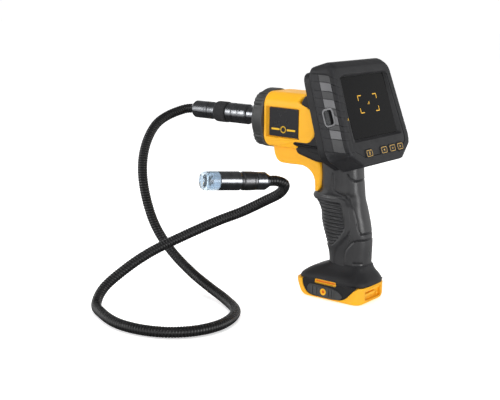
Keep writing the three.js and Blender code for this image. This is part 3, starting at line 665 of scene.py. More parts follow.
def build_nose():
    """The rubber nose ring: a rounded square bumper with finger notches on its shoulders."""
    angles = np.linspace(-math.pi, math.pi, 288, endpoint=False)
    fillet, front, back = NOSE["fillet"], NOSE["front"], NOSE["back"]
    outside = [(1.2, back), (0.35, back + 0.3)]
    outside += [(0, y) for y in (back + 1.2, back + 3.2, back + 6, front - fillet)]
    for k in range(1, 8):
        a = math.pi / 2 * k / 7
        outside.append((fillet * (1 - math.cos(a)), front - fillet * (1 - math.sin(a))))
    rows = []
    for distance, y in outside:
        corner = NOSE["corner"] - distance * 0.8
        ring = ring_of(round_square(NOSE["half"] - distance, corner), angles, (0, 0))
        row = []
        for angle, (x, z) in zip(angles, ring):
            shrink = 1 - shoulder_notches(angle, y) / math.hypot(x, z)
            row.append((x * shrink, y, z * shrink))
        rows.append(row)
    bore = NOSE["bore"]
    mouth = ((15, front), (12.6, front - 0.2), (11.7, front - 0.9), (bore, front - 2), (bore, back))
    for radius, y in mouth:
        rows.append([(radius * math.cos(a), y, radius * math.sin(a)) for a in angles])
    rows.append(rows[0])
    barrel_piece("nose_bumper", grid(rows, start=False, end=False), LIT_NOSE_RUBBER, stands_for=["nose_ring"])


# ---------------------------------------------------------------- barrel housing

HALF = 26
EDGE = 13
BARREL_Z = (140.5, 194)
SEAM = 0.15
FRONT_Y = 68.8
REAR_EDGE = [
    (32.5, 140.5), (31, 145.3), (22, 146.4), (13.6, 150.4), (9.4, 156), (8.5, 162), (8.7, 169), (10.4, 175),
    (14.2, 180.2), (19, 183.2), (24.4, 185), (28, 186.6), (26.6, 190), (24, 194),
]
RECESS = {"y0": 27, "y1": 63.9, "y2": 65.8, "z0": 151.4, "z1": 180.6, "rear": 0.9, "front": 3.1}


def rear_y(z):
    """Where the barrel's side ends at the rear, at a height."""
    ys, zs = zip(*REAR_EDGE)
    return float(np.interp(z, zs, ys))


def flank_x(z):
    """The barrel's half width at a height."""
    low, high = BARREL_Z[0] + EDGE, BARREL_Z[1] - EDGE
    off = low - z if z < low else z - high if z > high else 0
    return HALF - EDGE + math.sqrt(max(EDGE ** 2 - off ** 2, 0))


def recess_depth(y):
    """How deep the plate's pocket is, from its rear edge to the slope at its front."""
    if y < RECESS["y0"] or y > RECESS["y2"]:
        return 0.0
    floor = np.interp(y, [RECESS["y0"], RECESS["y1"]], [RECESS["rear"], RECESS["front"]])
    return float(floor * np.interp(y, [RECESS["y1"], RECESS["y2"]], [1, 0]))


def barrel_section():
    """Half of the barrel's section as (x, z, outward normal), from the bottom seam to the top."""
    heights = set()
    for i in range(13):
        a = math.pi / 2 * i / 12
        heights.add(round(BARREL_Z[0] + EDGE * (1 - math.cos(a)), 4))
        heights.add(round(BARREL_Z[1] - EDGE * (1 - math.cos(a)), 4))
    for z in (RECESS["z0"], RECESS["z1"]):
        heights |= {z - 0.3, z + 0.3}
    heights |= set(np.arange(156, 180, 2.0)) | {184.6, 186.2, 187.6}
    line = [(flank_x(z), z) for z in sorted(heights)]
    flat = [(x, BARREL_Z[0]) for x in (SEAM, 0.6, 5, 9)]
    top = [(x, BARREL_Z[1]) for x in (9, 5, 0.6, SEAM)]
    out = []
    for x, z in flat + line + top:
        cx = min(x, HALF - EDGE)
        cz = min(max(z, BARREL_Z[0] + EDGE), BARREL_Z[1] - EDGE)
        n = np.array([x - cx, z - cz])
        size = np.linalg.norm(n)
        out.append((x, z, n / size if size > 1e-6 else np.array([0, 1.0])))
    return out


def barrel_half():
    """The right half of the barrel as columns of points, each from its rear rim to its front one."""
    section = barrel_section()
    rear_rim, front_rim = 2.6, 1.8
    rear = rim(rear_rim, 5)
    front = rim(front_rim, 5)
    fixed = [26, 26.7, 27.3, 33, 39, 45, 51, 57, 62, 63.6, 64.2, 65.5, 66, 66.5]
    columns = []
    for x, z, normal in section:
        start = rear_y(z)
        first = max(26, start + rear_rim + 0.6)
        spots = [(4.0, start)] + [(d, start + s) for d, s in rear]
        spots += [(0, (start + rear_rim) * 0.5 + first * 0.5)]
        stretch = (FRONT_Y - front_rim - 0.3 - first) / (fixed[-1] - fixed[0])
        spots += [(0, first + (y - fixed[0]) * stretch if first > 26 else y) for y in fixed]
        spots += [(d, FRONT_Y - s) for d, s in reversed(front)] + [(4.0, FRONT_Y)]
        column = []
        for distance, y in spots:
            px = max(x - distance * normal[0], SEAM)
            if RECESS["z0"] < z < RECESS["z1"] and x > 20:
                px -= recess_depth(y)
            column.append((px, y, z - distance * normal[1]))
        columns.append(column)
    seam = [[(SEAM, y, z) for _, y, z in column] for column in reversed(columns)]
    return grid(list(zip(*columns, *seam)), ladder=True)


CHIN_HALF = 13.6
CHIN_EDGE = 3.4
CHIN_SECTIONS = [
    (65, 141, 65, 151), (65, 136.8, 63.4, 151), (64.2, 132, 60, 151), (62, 127.6, 57, 151),
    (58, 124.9, 52, 150), (52, 124.4, 48, 148.5), (44, 124.4, 42, 147), (38, 124.6, 36, 145),
    (33, 124.6, 30, 139.6), (29.5, 123.9, 22, 136.2), (26.5, 122.8, 16, 135.2), (23.2, 120.8, 11.8, 132),
    (20.4, 118.2, 9.4, 127.5), (18.5, 115, 8.4, 121.5), (17.4, 111.6, 8, 116), (17, 107.6, 9, 110),
    (16.6, 104, 10.8, 105.2), (15.6, 102.2, 12.4, 102.8),
]


def chin_half():
    """The chin and the strip in front of the grip: sections from its front edge across to its rear one."""
    rows = []
    for section in spline(CHIN_SECTIONS, 1.3):
        front, rear = section[:2], section[2:]
        span = math.hypot(*(front - rear))
        edge = min(CHIN_EDGE, span * 0.46)
        outline = [(0, SEAM), (0, 4), (0, 8)]
        for k in range(9):
            a = math.pi / 2 * k / 8
            outline.append((edge * (1 - math.cos(a)), CHIN_HALF - edge * (1 - math.sin(a))))
        outline += [(span - s, x) for s, x in reversed(outline)]
        rows.append([(x, *(front + (rear - front) * s / span)) for s, x in outline])
    return grid(rows)


def on_plate(side, outline, levels):
    """A low relief on the sloping floor of the plate's pocket. Levels are (inset, lift)."""
    return grid([
        [(side * (HALF - recess_depth(min(y, 64)) + lift), y, z) for y, z in inset(outline, distance)]
        for distance, lift in levels
    ])


def side_plate(side):
    thick = 0.75
    levels = [(0, 0.05)] + [(d, thick - s) for d, s in reversed(rim(0.35, 3))]
    return on_plate(side, rectangle(28, 63.4, 152.2, 179.8, 1.4), levels)


def plate_mark(side):
    """A plain sight ring and two bars, printed low on the plate."""
    outlines = [rectangle(y0, y1, 158.3, 160.1, 0.5) for y0, y1 in ((31.5, 41.5), (50.5, 60.5))]
    dashes = 24
    for k in range(dashes):
        a0, a1 = 2 * math.pi * k / dashes, 2 * math.pi * (k + 0.72) / dashes
        corners = ((2.4, a0), (3.4, a0), (3.4, a1), (2.4, a1))
        outlines.append([(46 + r * math.cos(a), 159.2 + r * math.sin(a)) for r, a in corners])
    return [on_plate(side, outline, ((0, 0.7), (0, 0.84), (0.05, 0.86))) for outline in outlines]


def build_barrel():
    """The yellow halves with the chin below them, and each side's plate."""
    halves = [barrel_half(), chin_half()]
    for word, shapes in (("left", [mirrored(half) for half in halves]), ("right", halves)):
        piece(f"barrel_shell_{word}", shapes, YELLOW, stands_for=[f"housing_{word}"], sharp=34)
    for word, side in SIDES:
        piece(f"plate_{word}", side_plate(side), PLATE, stands_for=[f"side_plate_{word}"])
        piece(f"plate_mark_{word}", plate_mark(side), YELLOW_PRINT)


# ---------------------------------------------------------------- spine and grip

SPINE_UPPER = [
    (-22, 144.6), (30, 144.6), (36, 146.5), (31, 152), (22, 158), (22, 178), (26.5, 186), (22, 193.4),
    (4.2, 194.1), (-12, 168),
]
SPINE_LOWER = [(-21, 131), (12, 131), (20, 133), (34, 136.8), (36.4, 142), (35, 147), (-20, 147)]

GRIP_LEVELS = [
    (34.6, 1, -38.8, 16.2), (46, 2.6, -39, 16.2), (56, 6.4, -39.2, 16.6), (66, 10.2, -38.8, 17),
    (76, 12.8, -37, 17), (84, 13.6, -34.8, 17), (91, 17.2, -33, 16.6), (97.5, 22.6, -31.4, 15.6),
    (100.4, 22, -30.8, 15.6), (103, 16.4, -30.2, 16), (112, 14.5, -29, 16), (122, 14.5, -28, 16),
    (134, 15, -27, 16.2),
]
RIB_PITCH = 3.4
PANEL = [
    (30, 94.6), (-14, 94.8), (-16.6, 92), (-18.9, 83.8), (-21.4, 72.5), (-20.4, 68.4), (-14.2, 59.4),
    (-9.4, 54.5), (-6, 52), (30, 52),
]
BAND = [
    (30, 98.6), (-14, 99), (-19.6, 97.6), (-22.8, 92), (-25.8, 79), (-26, 70), (-24.2, 65), (-18.7, 58.2),
    (-12.4, 51.6), (-10.2, 46), (-9.4, 34), (30, 34),
]
FLOW_GROOVE = [
    (-5.3, 121), (-6, 107.4), (-8.6, 104.6), (-13.1, 103.2), (-18.1, 101.6), (-22.7, 98), (-28.1, 89.6),
    (-31.7, 79), (-33.4, 70.5), (-35.4, 66.6), (-60, 65.6),
]
TOP_SEAM = [(-20.6, 121.4), (-23, 118), (-26.2, 115.8), (-60, 115.2)]
LOW_PANEL = [
    (-60, 60.4), (-33.5, 60.6), (-30.4, 59.4), (-27.2, 56.2), (-22.2, 49.8), (-20.9, 43), (-20.6, 37),
    (-22.2, 34.6), (-60, 34.6),
]
VALLEY = [(-19.4, 128), (-20.2, 114), (-21, 103)]


def smooth_levels(levels, z):
    """A level's front, rear and half width at a height, on one smooth curve."""
    zs = np.array([q[0] for q in levels], float)
    table = np.array([q[1:] for q in levels], float)
    slopes = np.gradient(table, zs, axis=0)
    i = int(np.clip(np.searchsorted(zs, z) - 1, 0, len(zs) - 2))
    span = zs[i + 1] - zs[i]
    t = (z - zs[i]) / span
    return (
        (2 * t ** 3 - 3 * t ** 2 + 1) * table[i] + (t ** 3 - 2 * t ** 2 + t) * span * slopes[i]
        + (3 * t ** 2 - 2 * t ** 3) * table[i + 1] + (t ** 3 - t ** 2) * span * slopes[i + 1]
    )


def superellipse(front, rear, half, segments, squareness):
    turns = np.linspace(0, 2 * math.pi, segments, endpoint=False)
    c, s = np.cos(turns), np.sin(turns)
    x = np.sign(c) * np.abs(c) ** squareness * half
    y = (front + rear) / 2 + np.sign(s) * np.abs(s) ** squareness * (front - rear) / 2
    return np.stack([x, y], 1)


def line_distance(line, y, z):
    """Distance of each (y, z) to an open line of points."""
    best = np.full(y.shape, 1e9)
    for (ay, az), (by, bz) in zip(line, line[1:]):
        dy, dz = by - ay, bz - az
        t = np.clip(((y - ay) * dy + (z - az) * dz) / (dy * dy + dz * dz), 0, 1)
        best = np.minimum(best, np.hypot(y - ay - t * dy, z - az - t * dz))
    return best


def inside_depth(outline, y, z):
    """Signed distance to a closed outline, positive inside."""
    closed = [*outline, outline[0]]
    crossings = np.zeros(y.shape, int)
    for (ay, az), (by, bz) in zip(closed, closed[1:]):
        if az == bz:
            continue
        spans = (az > z) != (bz > z)
        crossings += spans & (y < ay + (z - az) * (by - ay) / (bz - az))
    return np.where(crossings % 2 == 1, 1, -1) * line_distance(closed, y, z)


def ramp(value, start, end):
    t = np.clip((value - start) / (end - start), 0, 1)
    return t * t * (3 - 2 * t)


def grip_relief(y, z):
    """How far the grip's skin stands out from its plain section at (y, z)."""
    panel = inside_depth(PANEL, y, z)
    band = inside_depth(BAND, y, z)
    low = inside_depth(LOW_PANEL, y, z)
    relief = 0.75 * ramp(band, -0.9, 0.9)
    relief -= 1.2 * ramp(panel, -0.2, 0.9)
    ribs = 0.5 + 0.5 * np.cos(2 * math.pi * (z - 55) / RIB_PITCH)
    relief += 1.0 * ribs * ramp(panel, 0.8, 2.2) * (1 - 0.7 * ramp(y, 0, 8))
    relief += 0.45 * ramp(low, -0.3, 0.7)
    relief -= 0.5 * (1 - ramp(np.abs(low), 0.3, 0.9)) * (z < 61.5)
    relief -= 0.8 * (1 - ramp(line_distance(FLOW_GROOVE, y, z), 0.25, 0.9))
    relief -= 0.75 * (1 - ramp(line_distance(TOP_SEAM, y, z), 0.25, 0.9))
    relief -= 0.9 * (1 - ramp(line_distance(VALLEY, y, z), 0.3, 3.4))
    bar = inside_depth([(-37.4, 36.9), (-30, 37.1), (-30, 39.3), (-37.4, 39.1)], y, z)
    relief -= 0.5 * ramp(bar, -0.1, 0.5)
    return relief - 0.55


def grip_body():
    heights = sorted(set(np.round(np.concatenate([
        np.arange(34.3, 52, 0.8), np.arange(52, 95, RIB_PITCH / 7), np.arange(95, 106, 0.6),
        np.arange(106, 134, 0.9),
    ]), 3)))
    rows = []
    for z in heights:
        front, rear, half = smooth_levels(GRIP_LEVELS, z)
        section = superellipse(front, rear, half, 208, 0.8)
        tangent = np.roll(section, -1, 0) - np.roll(section, 1, 0)
        normal = np.stack([tangent[:, 1], -tangent[:, 0]], 1)
        normal /= np.linalg.norm(normal, axis=1, keepdims=True)
        lift = grip_relief(section[:, 1], np.full(len(section), z))
        moved = section + normal * lift[:, None]
        rows.append([(x, y, z) for x, y in moved])
    return grid(rows)


def build_grip():
    upper = slab(rounded(SPINE_UPPER, 3, 5), -25.2, 25.2, across, 2, 2, 5)
    lower = slab(rounded(SPINE_LOWER, 2.5, 5), -19, 19, across, 2.6, 2.6, 5)
    piece("spine", [upper, lower], BLACK)
    piece("grip_skin", grip_body(), GRIP, stands_for=["grip_left", "grip_right"], sharp=50)


# ---------------------------------------------------------------- foot

FOOT_HALF = 25
FOOT_FRONT, FOOT_REAR = 30, -44.8
SKIRT_LEVELS = [
    (17.5, 29.2, -46.4, 25.5), (18.3, 29.2, -46.4, 25.5), (20.5, 28, -46, 25.4), (25, 22.4, -43.4, 23.2),
    (29.5, 13.6, -40.3, 19), (32.6, 5.4, -39, 16.9), (34.4, 1.4, -38.6, 15.9), (36, -0.5, -37.5, 15),
]
PAD = [
    (13, 5.5), (13.4, 11), (10.6, 14.2), (-14, 13.6), (-22, 11.4), (-26.5, 7.5), (-24.5, 4.2), (-16, 2.6),
    (0, 2.6),
]
PAD_BARS = [(6.8, 8.9), (2, 6), (-11.4, 1.2), (-14.8, -12.2), (-17.6, -15.6)]
CHEEK = [
    (19.8, 18.6), (19.2, 12), (16.5, 7), (12.5, 3.6), (8, 2.4), (-16, 2.4), (-25, 3.6), (-30, 6.4),
    (-33.4, 10), (-36.8, 14), (-40.6, 17.2), (-40.6, 18.6), (-18.8, 18.6), (-18.8, 15.4), (5.4, 15.4),
    (5.4, 18.6),
]
BOSS = (-5.2, 8.6)


def foot_skirt():
    heights = [17.5, 17.7, 18.1, 18.8, 19.6, 20.5, 21.5, 23, 25, 27, 29, 31, 33, 34.4, 36]
    rows = []
    for z in heights:
        front, rear, half = smooth_levels(SKIRT_LEVELS, z)
        tuck = {17.5: 0.7, 17.7: 0.3, 18.1: 0.06}.get(z, 0)
        rows.append([(x, y, z) for x, y in superellipse(front - tuck, rear + tuck, half - tuck, 144, 0.52)])
    return grid(rows)


# (height, inset of the outline, how far the front leans in)
BLOCK_LEVELS = [
    (0, 4.6, 6.4), (0.3, 3.1, 6.2), (1.1, 1.8, 5.8), (2.4, 0.8, 5.2), (4.2, 0.2, 4.2), (6.2, 0, 3.2),
    (9, 0, 1.9), (12, 0, 0.7), (14.4, 0, 0.1), (16.6, 0, 0), (17.1, 0.3, 0), (17.2, 0.8, 0),
]


def foot_block():
    """The yellow battery frame: round corners, a soft lower edge, and a front face that leans in."""
    outline = rectangle(-FOOT_HALF + 0.1, FOOT_HALF - 0.1, FOOT_REAR, FOOT_FRONT, 12, 9)
    return grid([
        [(x, y - lean * max(y, 0) / FOOT_FRONT, z) for x, y in inset(outline, distance)]
        for z, distance, lean in BLOCK_LEVELS
    ])


def box_cut(x0, x1, y0, y1, z0, z1, radius=0.8):
    return slab(rectangle(x0, x1, y0, y1, radius), z0, z1, upward, 0.3, 0.3, 2)


def sided(side, outline, inner, outer, rim_size):
    """An outline in (y, z) given thickness on one side, with its outer rim rounded."""
    if side > 0:
        return slab(outline, inner, outer, across, 0.2, rim_size)
    return slab(outline, -outer, -inner, across, rim_size, 0.2)


def build_foot_side(word, side):
    """One side's cheek cover, its slot with an orange floor of painted shade, and the belt hook's pad with
    a threaded boss.
    """
    shape = partial(sided, side)
    cheek = shape(rounded(CHEEK, 2, 5), 22.7, 25, 0.9)
    piece(f"cheek_cover_{word}", cheek, BLACK, stands_for=[f"cheek_{word}"])
    slot_rim = shape(rectangle(-18.5, 5.1, 15.7, 19.9, 1.4), 22.9, 24.9, 0.3)
    slot_floor = shape(rectangle(-17.6, 4.2, 16.6, 19, 0.8), 23.25, 23.9, 0.3)
    carve(piece(f"slot_rim_{word}", slot_rim, YELLOW), [
        shape(rectangle(-17.7, 4.3, 16.5, 19.1, 0.9), 23.2, 27, 0.05),
    ])
    # The slot's orange floor is painted shade in the pocket.
    piece(f"slot_floor_{word}", slot_floor, SHADED_YELLOW)

    hole = shape(circle(3.5, *BOSS, 40), 24, 28, 0.2)
    pad = shape(rounded(PAD, 2.2, 5), 25.05, 25.8, 0.5)
    bars = [shape(rectangle(y0, y1, 4, 12.6, 0.6), 25.6, 26.4, 0.35) for y0, y1 in PAD_BARS]
    carve(piece(f"hook_pad_face_{word}", pad, DARK_GREY, stands_for=[f"hook_pad_{word}"]), [hole])
    carve(piece(f"hook_pad_rise_{word}", bars, DARK_GREY), [hole])
    wall = [
        (1.6, 25.2), (1.6, 26.1), (2, 26.35), (2.7, 26.4), (3.2, 26.3), (3.35, 26), (3.35, 25.2),
        (1.6, 25.2),
    ]
    boss = grid([[(side * x, y, z) for y, z in circle(radius, *BOSS, 40)] for radius, x in wall],
                start=False, end=False)
    piece(f"hook_boss_{word}", boss, YELLOW, stands_for=[f"hook_insert_{word}"])
    # An orange disc at the bottom of the boss's hole: painted shade in the hole.
    hole_shade = shape(circle(1.7, *BOSS, 24), 25.1, 25.5, 0.1)
    piece(f"hook_hole_shade_{word}", hole_shade, SHADED_YELLOW, slot="brass_parts")


def build_foot():
    skirt = piece("foot_skirt_skin", foot_skirt(), SKIRT, stands_for=["foot_skirt"])
    carve(skirt, [
        box_cut(side * 26 - 3.4, side * 26 + 3.4, -18.8, 5.4, 14.6, 20.2) for _, side in SIDES
    ])
    cheek_room = inset(rounded(CHEEK, 2, 5), -0.2)
    block = piece("battery_shoe", foot_block(), YELLOW, stands_for=["battery_frame"])
    carve(block, [
        box_cut(-17.5, 17.5, -34, 24, -2, 13.5, 2),
        slab(rectangle(-14, 14, 4.2, 14.6, 1.6), FOOT_REAR - 3, FOOT_REAR + 3.2, onward, 0.3, 0.5, 3),
        slab(cheek_room, -27, -22.4, across, 0.1, 0.1),
        slab(cheek_room, 22.4, 27, across, 0.1, 0.1),
    ])
    latch = [
        slab(outline, FOOT_REAR + depth, FOOT_REAR + 4, onward, edge, 0.3, steps)
        for outline, depth, edge, steps in (
            (rectangle(-13.9, 6, 8.2, 10.9, 1.2), 0.6, 0.7, 4),
            (circle(1.4, 9.4, 7.2, 20), 1.4, 0.5, 3),
            (rectangle(-13.9, 13.9, 12.2, 14.4, 0.8), 0.9, 0.5, 3),
        )
    ]
    piece("latch_bar", latch, YELLOW)
    for word, side in SIDES:
        build_foot_side(word, side)


# ---------------------------------------------------------------- display
# In the screen's frame: x right, y into the tool, z up along the screen.

# The tile rows run level when the tool stands, so they climb across the display's side.

ROW_CLIMB = math.tan(SCREEN_TILT)
ROW_ZERO = 12.0
SIDE_LINES = [34.9, 27.8, 19.5, 12.4, 4.1, -2.2, -10.6, -15.8, -24, -36.5]
LIGHT_ROWS = [(19.5, 27.8), (4.1, 12.4), (-10.6, -2.2), (-24, -15.8)]
COLUMN_SPLIT = 16.2
COLUMN_FRONT = 4.4
GLASS = (38, 28.6)
BUTTON_X = (-23, 2.9, 18.2, 32.4)
BUTTON_V = -43.1
BUTTON_HALF = (5.8, 3.8)


def display_outline(side, top=None, per_part=60):
    """The display's outline drawn in by side all round and by top at its top edge."""
    top = side if top is None else top
    head = 44.6 - top
    foot = -54.4 + side
    shoulder = 33 - top * 0.5
    parts = [
        [(0, foot), (34 - side * 0.4, foot)],
        [(34 - side * 0.4, foot), (51.4 - side, -42.4 + side * 0.3)],
        [(51.4 - side, -42.4 + side * 0.3), (54.8 - side, -39), (54.5 - side, -30)],
        [(54.5 - side, -30), (49.8 - side, shoulder)],
        [(49.8 - side, shoulder), (48.8 - side, head), (40 - side, head)],
        [(40 - side, head), (0, head)],
    ]
    right = []
    for part in parts:
        for t in np.linspace(0, 1, per_part, endpoint=False):
            if len(part) == 2:
                right.append(tuple((1 - t) * np.array(part[0]) + t * np.array(part[1])))
            else:
                a, b, c = (np.array(q, float) for q in part)
                right.append(tuple((1 - t) ** 2 * a + 2 * t * (1 - t) * b + t ** 2 * c))
    right.append((0, head))
    left = [(-x, v) for x, v in right[1:-1]][::-1]
    return np.array(right + left)


def outline_stations(climb=0.0):
    """Places round the outline, as fractional indices, closer together at the tile lines. A climb
    slides those on the sides up along the outline, and dies out before its corners."""
    base = display_outline(0)
    count = len(base)
    half = count // 2
    length = np.concatenate([[0], np.cumsum(np.linalg.norm(np.diff(base[:half + 1], axis=0), axis=1))])
    side = [i for i in range(half) if base[i][0] > 45 and -42 < base[i][1] < 44]
    level = [base[i][1] for i in side]
    places = [float(np.interp(v, level, length[side])) for v in SIDE_LINES]
    near = [s + o for s in places for o in (-0.7, -0.35, 0, 0.35, 0.7)]
    far = [s for s in np.arange(0, length[-1], 1.9) if all(abs(s - p) > 1.4 for p in places)]
    low, high = length[side[0]], length[side[-1]]

    def index_at(s):
        slide = climb * min(max((s - low) / 7, 0), 1) * min(max((high - s) / 7, 0), 1)
        return float(np.interp(s + slide, length, np.arange(half + 1)))

    right = [index_at(s) for s in sorted(near + far)]
    left = [count - f for f in reversed(right) if 0 < f < half]
    grooves = [index_at(s) for s in places]
    return right + [float(half)] + left, grooves + [count - g for g in grooves]


def sample(outline, places):
    count = len(outline)
    low = np.floor(places).astype(int)
    t = (np.asarray(places) - low)[:, None]
    return outline[low % count] * (1 - t) + outline[(low + 1) % count] * t


SHELL_PROFILE = [
    (8.2, 14.2, 5.0), (8.2, 14.2, 0.5), (7.9, 13.9, 0.12), (7.2, 13.0, 0.0), (4.6, 10.4, 0.0),
    (2.3, 8.0, 0.0), (1.3, 7.0, 0.25), (0.7, 6.0, 1.0), (0.3, 4.6, 2.2), (0.05, 3.0, 3.7),
    (0, 2.6, 4.05), (0, 2.3, 4.4), (0, 2.0, 4.75), (0, 1.7, 5.1), (0, 0.6, 7.0), (0, 0.1, 9.0),
    (0, 0, 12), (0, 0, 15.4), (0, 0, 15.8), (0, 0, 16.2), (0, 0, 16.6), (0, 0, 17.2), (0, 0, 21),
    (0.05, 0.05, 23.4), (0.35, 0.35, 24.8), (1.1, 1.1, 26.1), (2.2, 2.2, 26.8), (3.4, 3.4, 27), (9, 9, 27),
]


def row_level(v, w):
    return v - (w - ROW_ZERO) * ROW_CLIMB


def tile_inset(v, w, groove):
    """How far the side skin sits below its outermost line: grooves, and tiles of two heights."""
    if groove:
        return 0.85
    light = any(low < row_level(v, w) < high for low, high in LIGHT_ROWS)
    if w < COLUMN_SPLIT:
        return 0.1 if light else 0.35
    return 0.45


def display_shell():
    rows = []
    for side, top, w in SHELL_PROFILE:
        places, grooves = outline_stations((w - ROW_ZERO) * ROW_CLIMB)
        ring = sample(display_outline(side, top), places)
        row = []
        for place, (x, v) in zip(places, ring):
            groove = min(abs(place - g) for g in grooves) < 1e-6
            level = row_level(v, w)
            on_side = abs(x) > 44 - side and -38 < level < 36
            lifted = w
            if on_side and 1.5 < w < 25:
                split = abs(w - COLUMN_SPLIT) < 0.01 or abs(w - COLUMN_FRONT) < 0.01
                x -= math.copysign(tile_inset(v, w, groove or split), x)
            elif on_side and w <= 1.5 and groove and side < 6:
                lifted = w + 0.5
                x -= math.copysign(0.35, x)
            row.append((x, lifted, v))
        rows.append(row)
    return grid(rows)


# Paler and darker tiles: partly their own grey, partly painted light and shade for how the tilted tiles
# catch the light.
def paint_tiles(centre):
    x, w, v = centre
    level = row_level(v, w)
    if abs(x) < 46 or not COLUMN_FRONT + 0.35 < w < 25 or not -36 < level < 34:
        return 0
    if w < COLUMN_SPLIT - 0.4 and any(low + 0.5 < level < high - 0.5 for low, high in LIGHT_ROWS):
        return 1
    return 2 if w < COLUMN_SPLIT - 0.4 else 3


def ring_of(outline, angles, centre=(0, -6)):
    """Where rays from a centre cross a closed outline."""
    p = np.asarray(outline, float) - centre
    a = np.unwrap(np.arctan2(p[:, 1], p[:, 0]))
    if a[-1] < a[0]:
        p, a = p[::-1], np.unwrap(np.arctan2(p[::-1][:, 1], p[::-1][:, 0]))
    a = np.concatenate([a - 2 * math.pi, a, a + 2 * math.pi])
    p = np.concatenate([p, p, p])
    order = np.argsort(a)
    radius = np.interp(angles, a[order], np.hypot(p[:, 0], p[:, 1])[order])
    return [(centre[0] + r * math.cos(t), centre[1] + r * math.sin(t)) for r, t in zip(radius, angles)]


def dense(outline, step=0.4):
    """An outline with points added so that none are further apart than a step."""
    out = []
    pts = [np.array(q, float) for q in outline]
    for a, b in zip(pts, pts[1:] + pts[:1]):
        count = max(1, int(np.linalg.norm(b - a) / step))
        out += [tuple(a + (b - a) * k / count) for k in range(count)]
    return out


def display_face():
    """The frame round the glass: a ring of sections from the shell's inner edge to the pane's."""
    angles = np.linspace(-math.pi, math.pi, 360, endpoint=False)
    wide, high = GLASS
    opening = rounded([(-43.2, -31.6), (43.2, -31.6), (39.8, 31.2), (-39.8, 31.2)], 2.6)

    def pane_edge(gap, radius):
        return dense(rectangle(-wide - gap, wide + gap, -high - gap, high + gap, radius))

    rows = []
    for outline, w in (
        (display_outline(8.6, 14.6), 4.6), (display_outline(8.6, 14.6), 0.75),
        (display_outline(8.9, 14.9), 0.5), (dense(opening), 0.5), (dense(inset(opening, 0.35)), 0.62),
        (pane_edge(0.7, 1.6), 2.35), (pane_edge(0.2, 1.4), 2.5), (pane_edge(0.2, 1.4), 4.6),
    ):
        rows.append([(x, w, v) for x, v in ring_of(outline, angles)])
    rows.append(rows[0])
    return grid(rows, start=False, end=False)


def pill(points, low, high, edge=0.4):
    """A raised print or key in the screen's frame: outline in (x, v), depth along w."""
    return slab(points, low, high, onward, edge, min(edge, 0.2), 3)


def key_outline(x, margin):
    half, rise = BUTTON_HALF[0] + margin, BUTTON_HALF[1] + margin
    return rectangle(x - half, x + half, BUTTON_V - rise, BUTTON_V + rise, 1.8 + margin * 0.5, 6)


def frame_print(half, rise, width, x, v, low, high, radius=1.6):
    """A thin rounded outline."""
    outer = rectangle(x - half, x + half, v - rise, v + rise, radius, 6)
    inner = inset(outer, width)
    rows = [[(a, low, b) for a, b in inset(outer, 0.04)], [(a, low, b) for a, b in inset(inner, -0.04)],
            [(a, high, b) for a, b in inner], [(a, high, b) for a, b in outer]]
    rows.append(rows[0])
    return grid(rows, start=False, end=False)


def key_glyph(index, x, v):
    """A generic sign for each key: standby ring, left, dot and right."""
    top = -0.62
    if index == 0:
        ring = frame_print(1.25, 1.25, 0.45, x, v - 0.2, top, -0.3, 1.2)
        return [ring, pill(rectangle(x - 0.25, x + 0.25, v, v + 1.7, 0.2), top, -0.3, 0.05)]
    if index == 2:
        return [pill(circle(0.75, x, v, 20), top, -0.3, 0.1)]
    way = -1 if index == 1 else 1
    arrow = [(x + way * 1.2, v), (x - way * 0.9, v + 1.2), (x - way * 0.9, v - 1.2)]
    return [pill(rounded(arrow, 0.3, 3), top, -0.3, 0.08)]


def build_keys():
    for index, x in enumerate(BUTTON_X):
        key = f"key_{index + 1}"
        cap = slab(key_outline(x, 0), -0.42, 8, onward, 0.5, 0.2)
        screen_piece(f"key_cap_{index + 1}", cap, RUBBER, body=key, stands_for=[f"button_{index + 1}"])
        prints = [frame_print(4.8, 2.95, 0.55, x, BUTTON_V, -0.5, -0.38)] + key_glyph(index, x, BUTTON_V)
        screen_piece(f"key_print_{index + 1}", prints, PRINT, body=key)


def bar(x0, x1, v0, v1, radius, levels, edge):
    """A small printed bar on the display."""
    return pill(rectangle(min(x0, x1), max(x0, x1), min(v0, v1), max(v0, v1), radius), *levels, edge)


def build_screen_marks():
    """A generic viewfinder on the screen and a lock sign on the margin."""
    on_screen = (2.28, 2.36)
    shapes = []
    for sx in (-1, 1):
        for sv in (-1, 1):
            x, v = sx * 16, 2 + sv * 8
            shapes.append(bar(x, x - sx * 6, v - 0.45, v + 0.45, 0.2, on_screen, 0.03))
            shapes.append(bar(x - 0.45, x + 0.45, v, v - sv * 4.5, 0.2, on_screen, 0.03))
    for k in range(3):
        x = -1.6 + k * 1.3
        shapes.append(bar(x, -0.9 + k * 1.3, 1.2, 2.0 + k * 0.9, 0.1, on_screen, 0.03))
    screen_piece("screen_marks", shapes, MARK)
    sign = [
        bar(*sides, 0.3, (0.36, 0.5), 0.05)
        for sides in ((-45.3, -44.5, -8.2, -5.8), (-44.2, -42.6, -10.6, -9.9), (-43.2, -42.5, -10.6, -8.6))
    ]
    screen_piece("margin_sign", sign, YELLOW_PRINT)


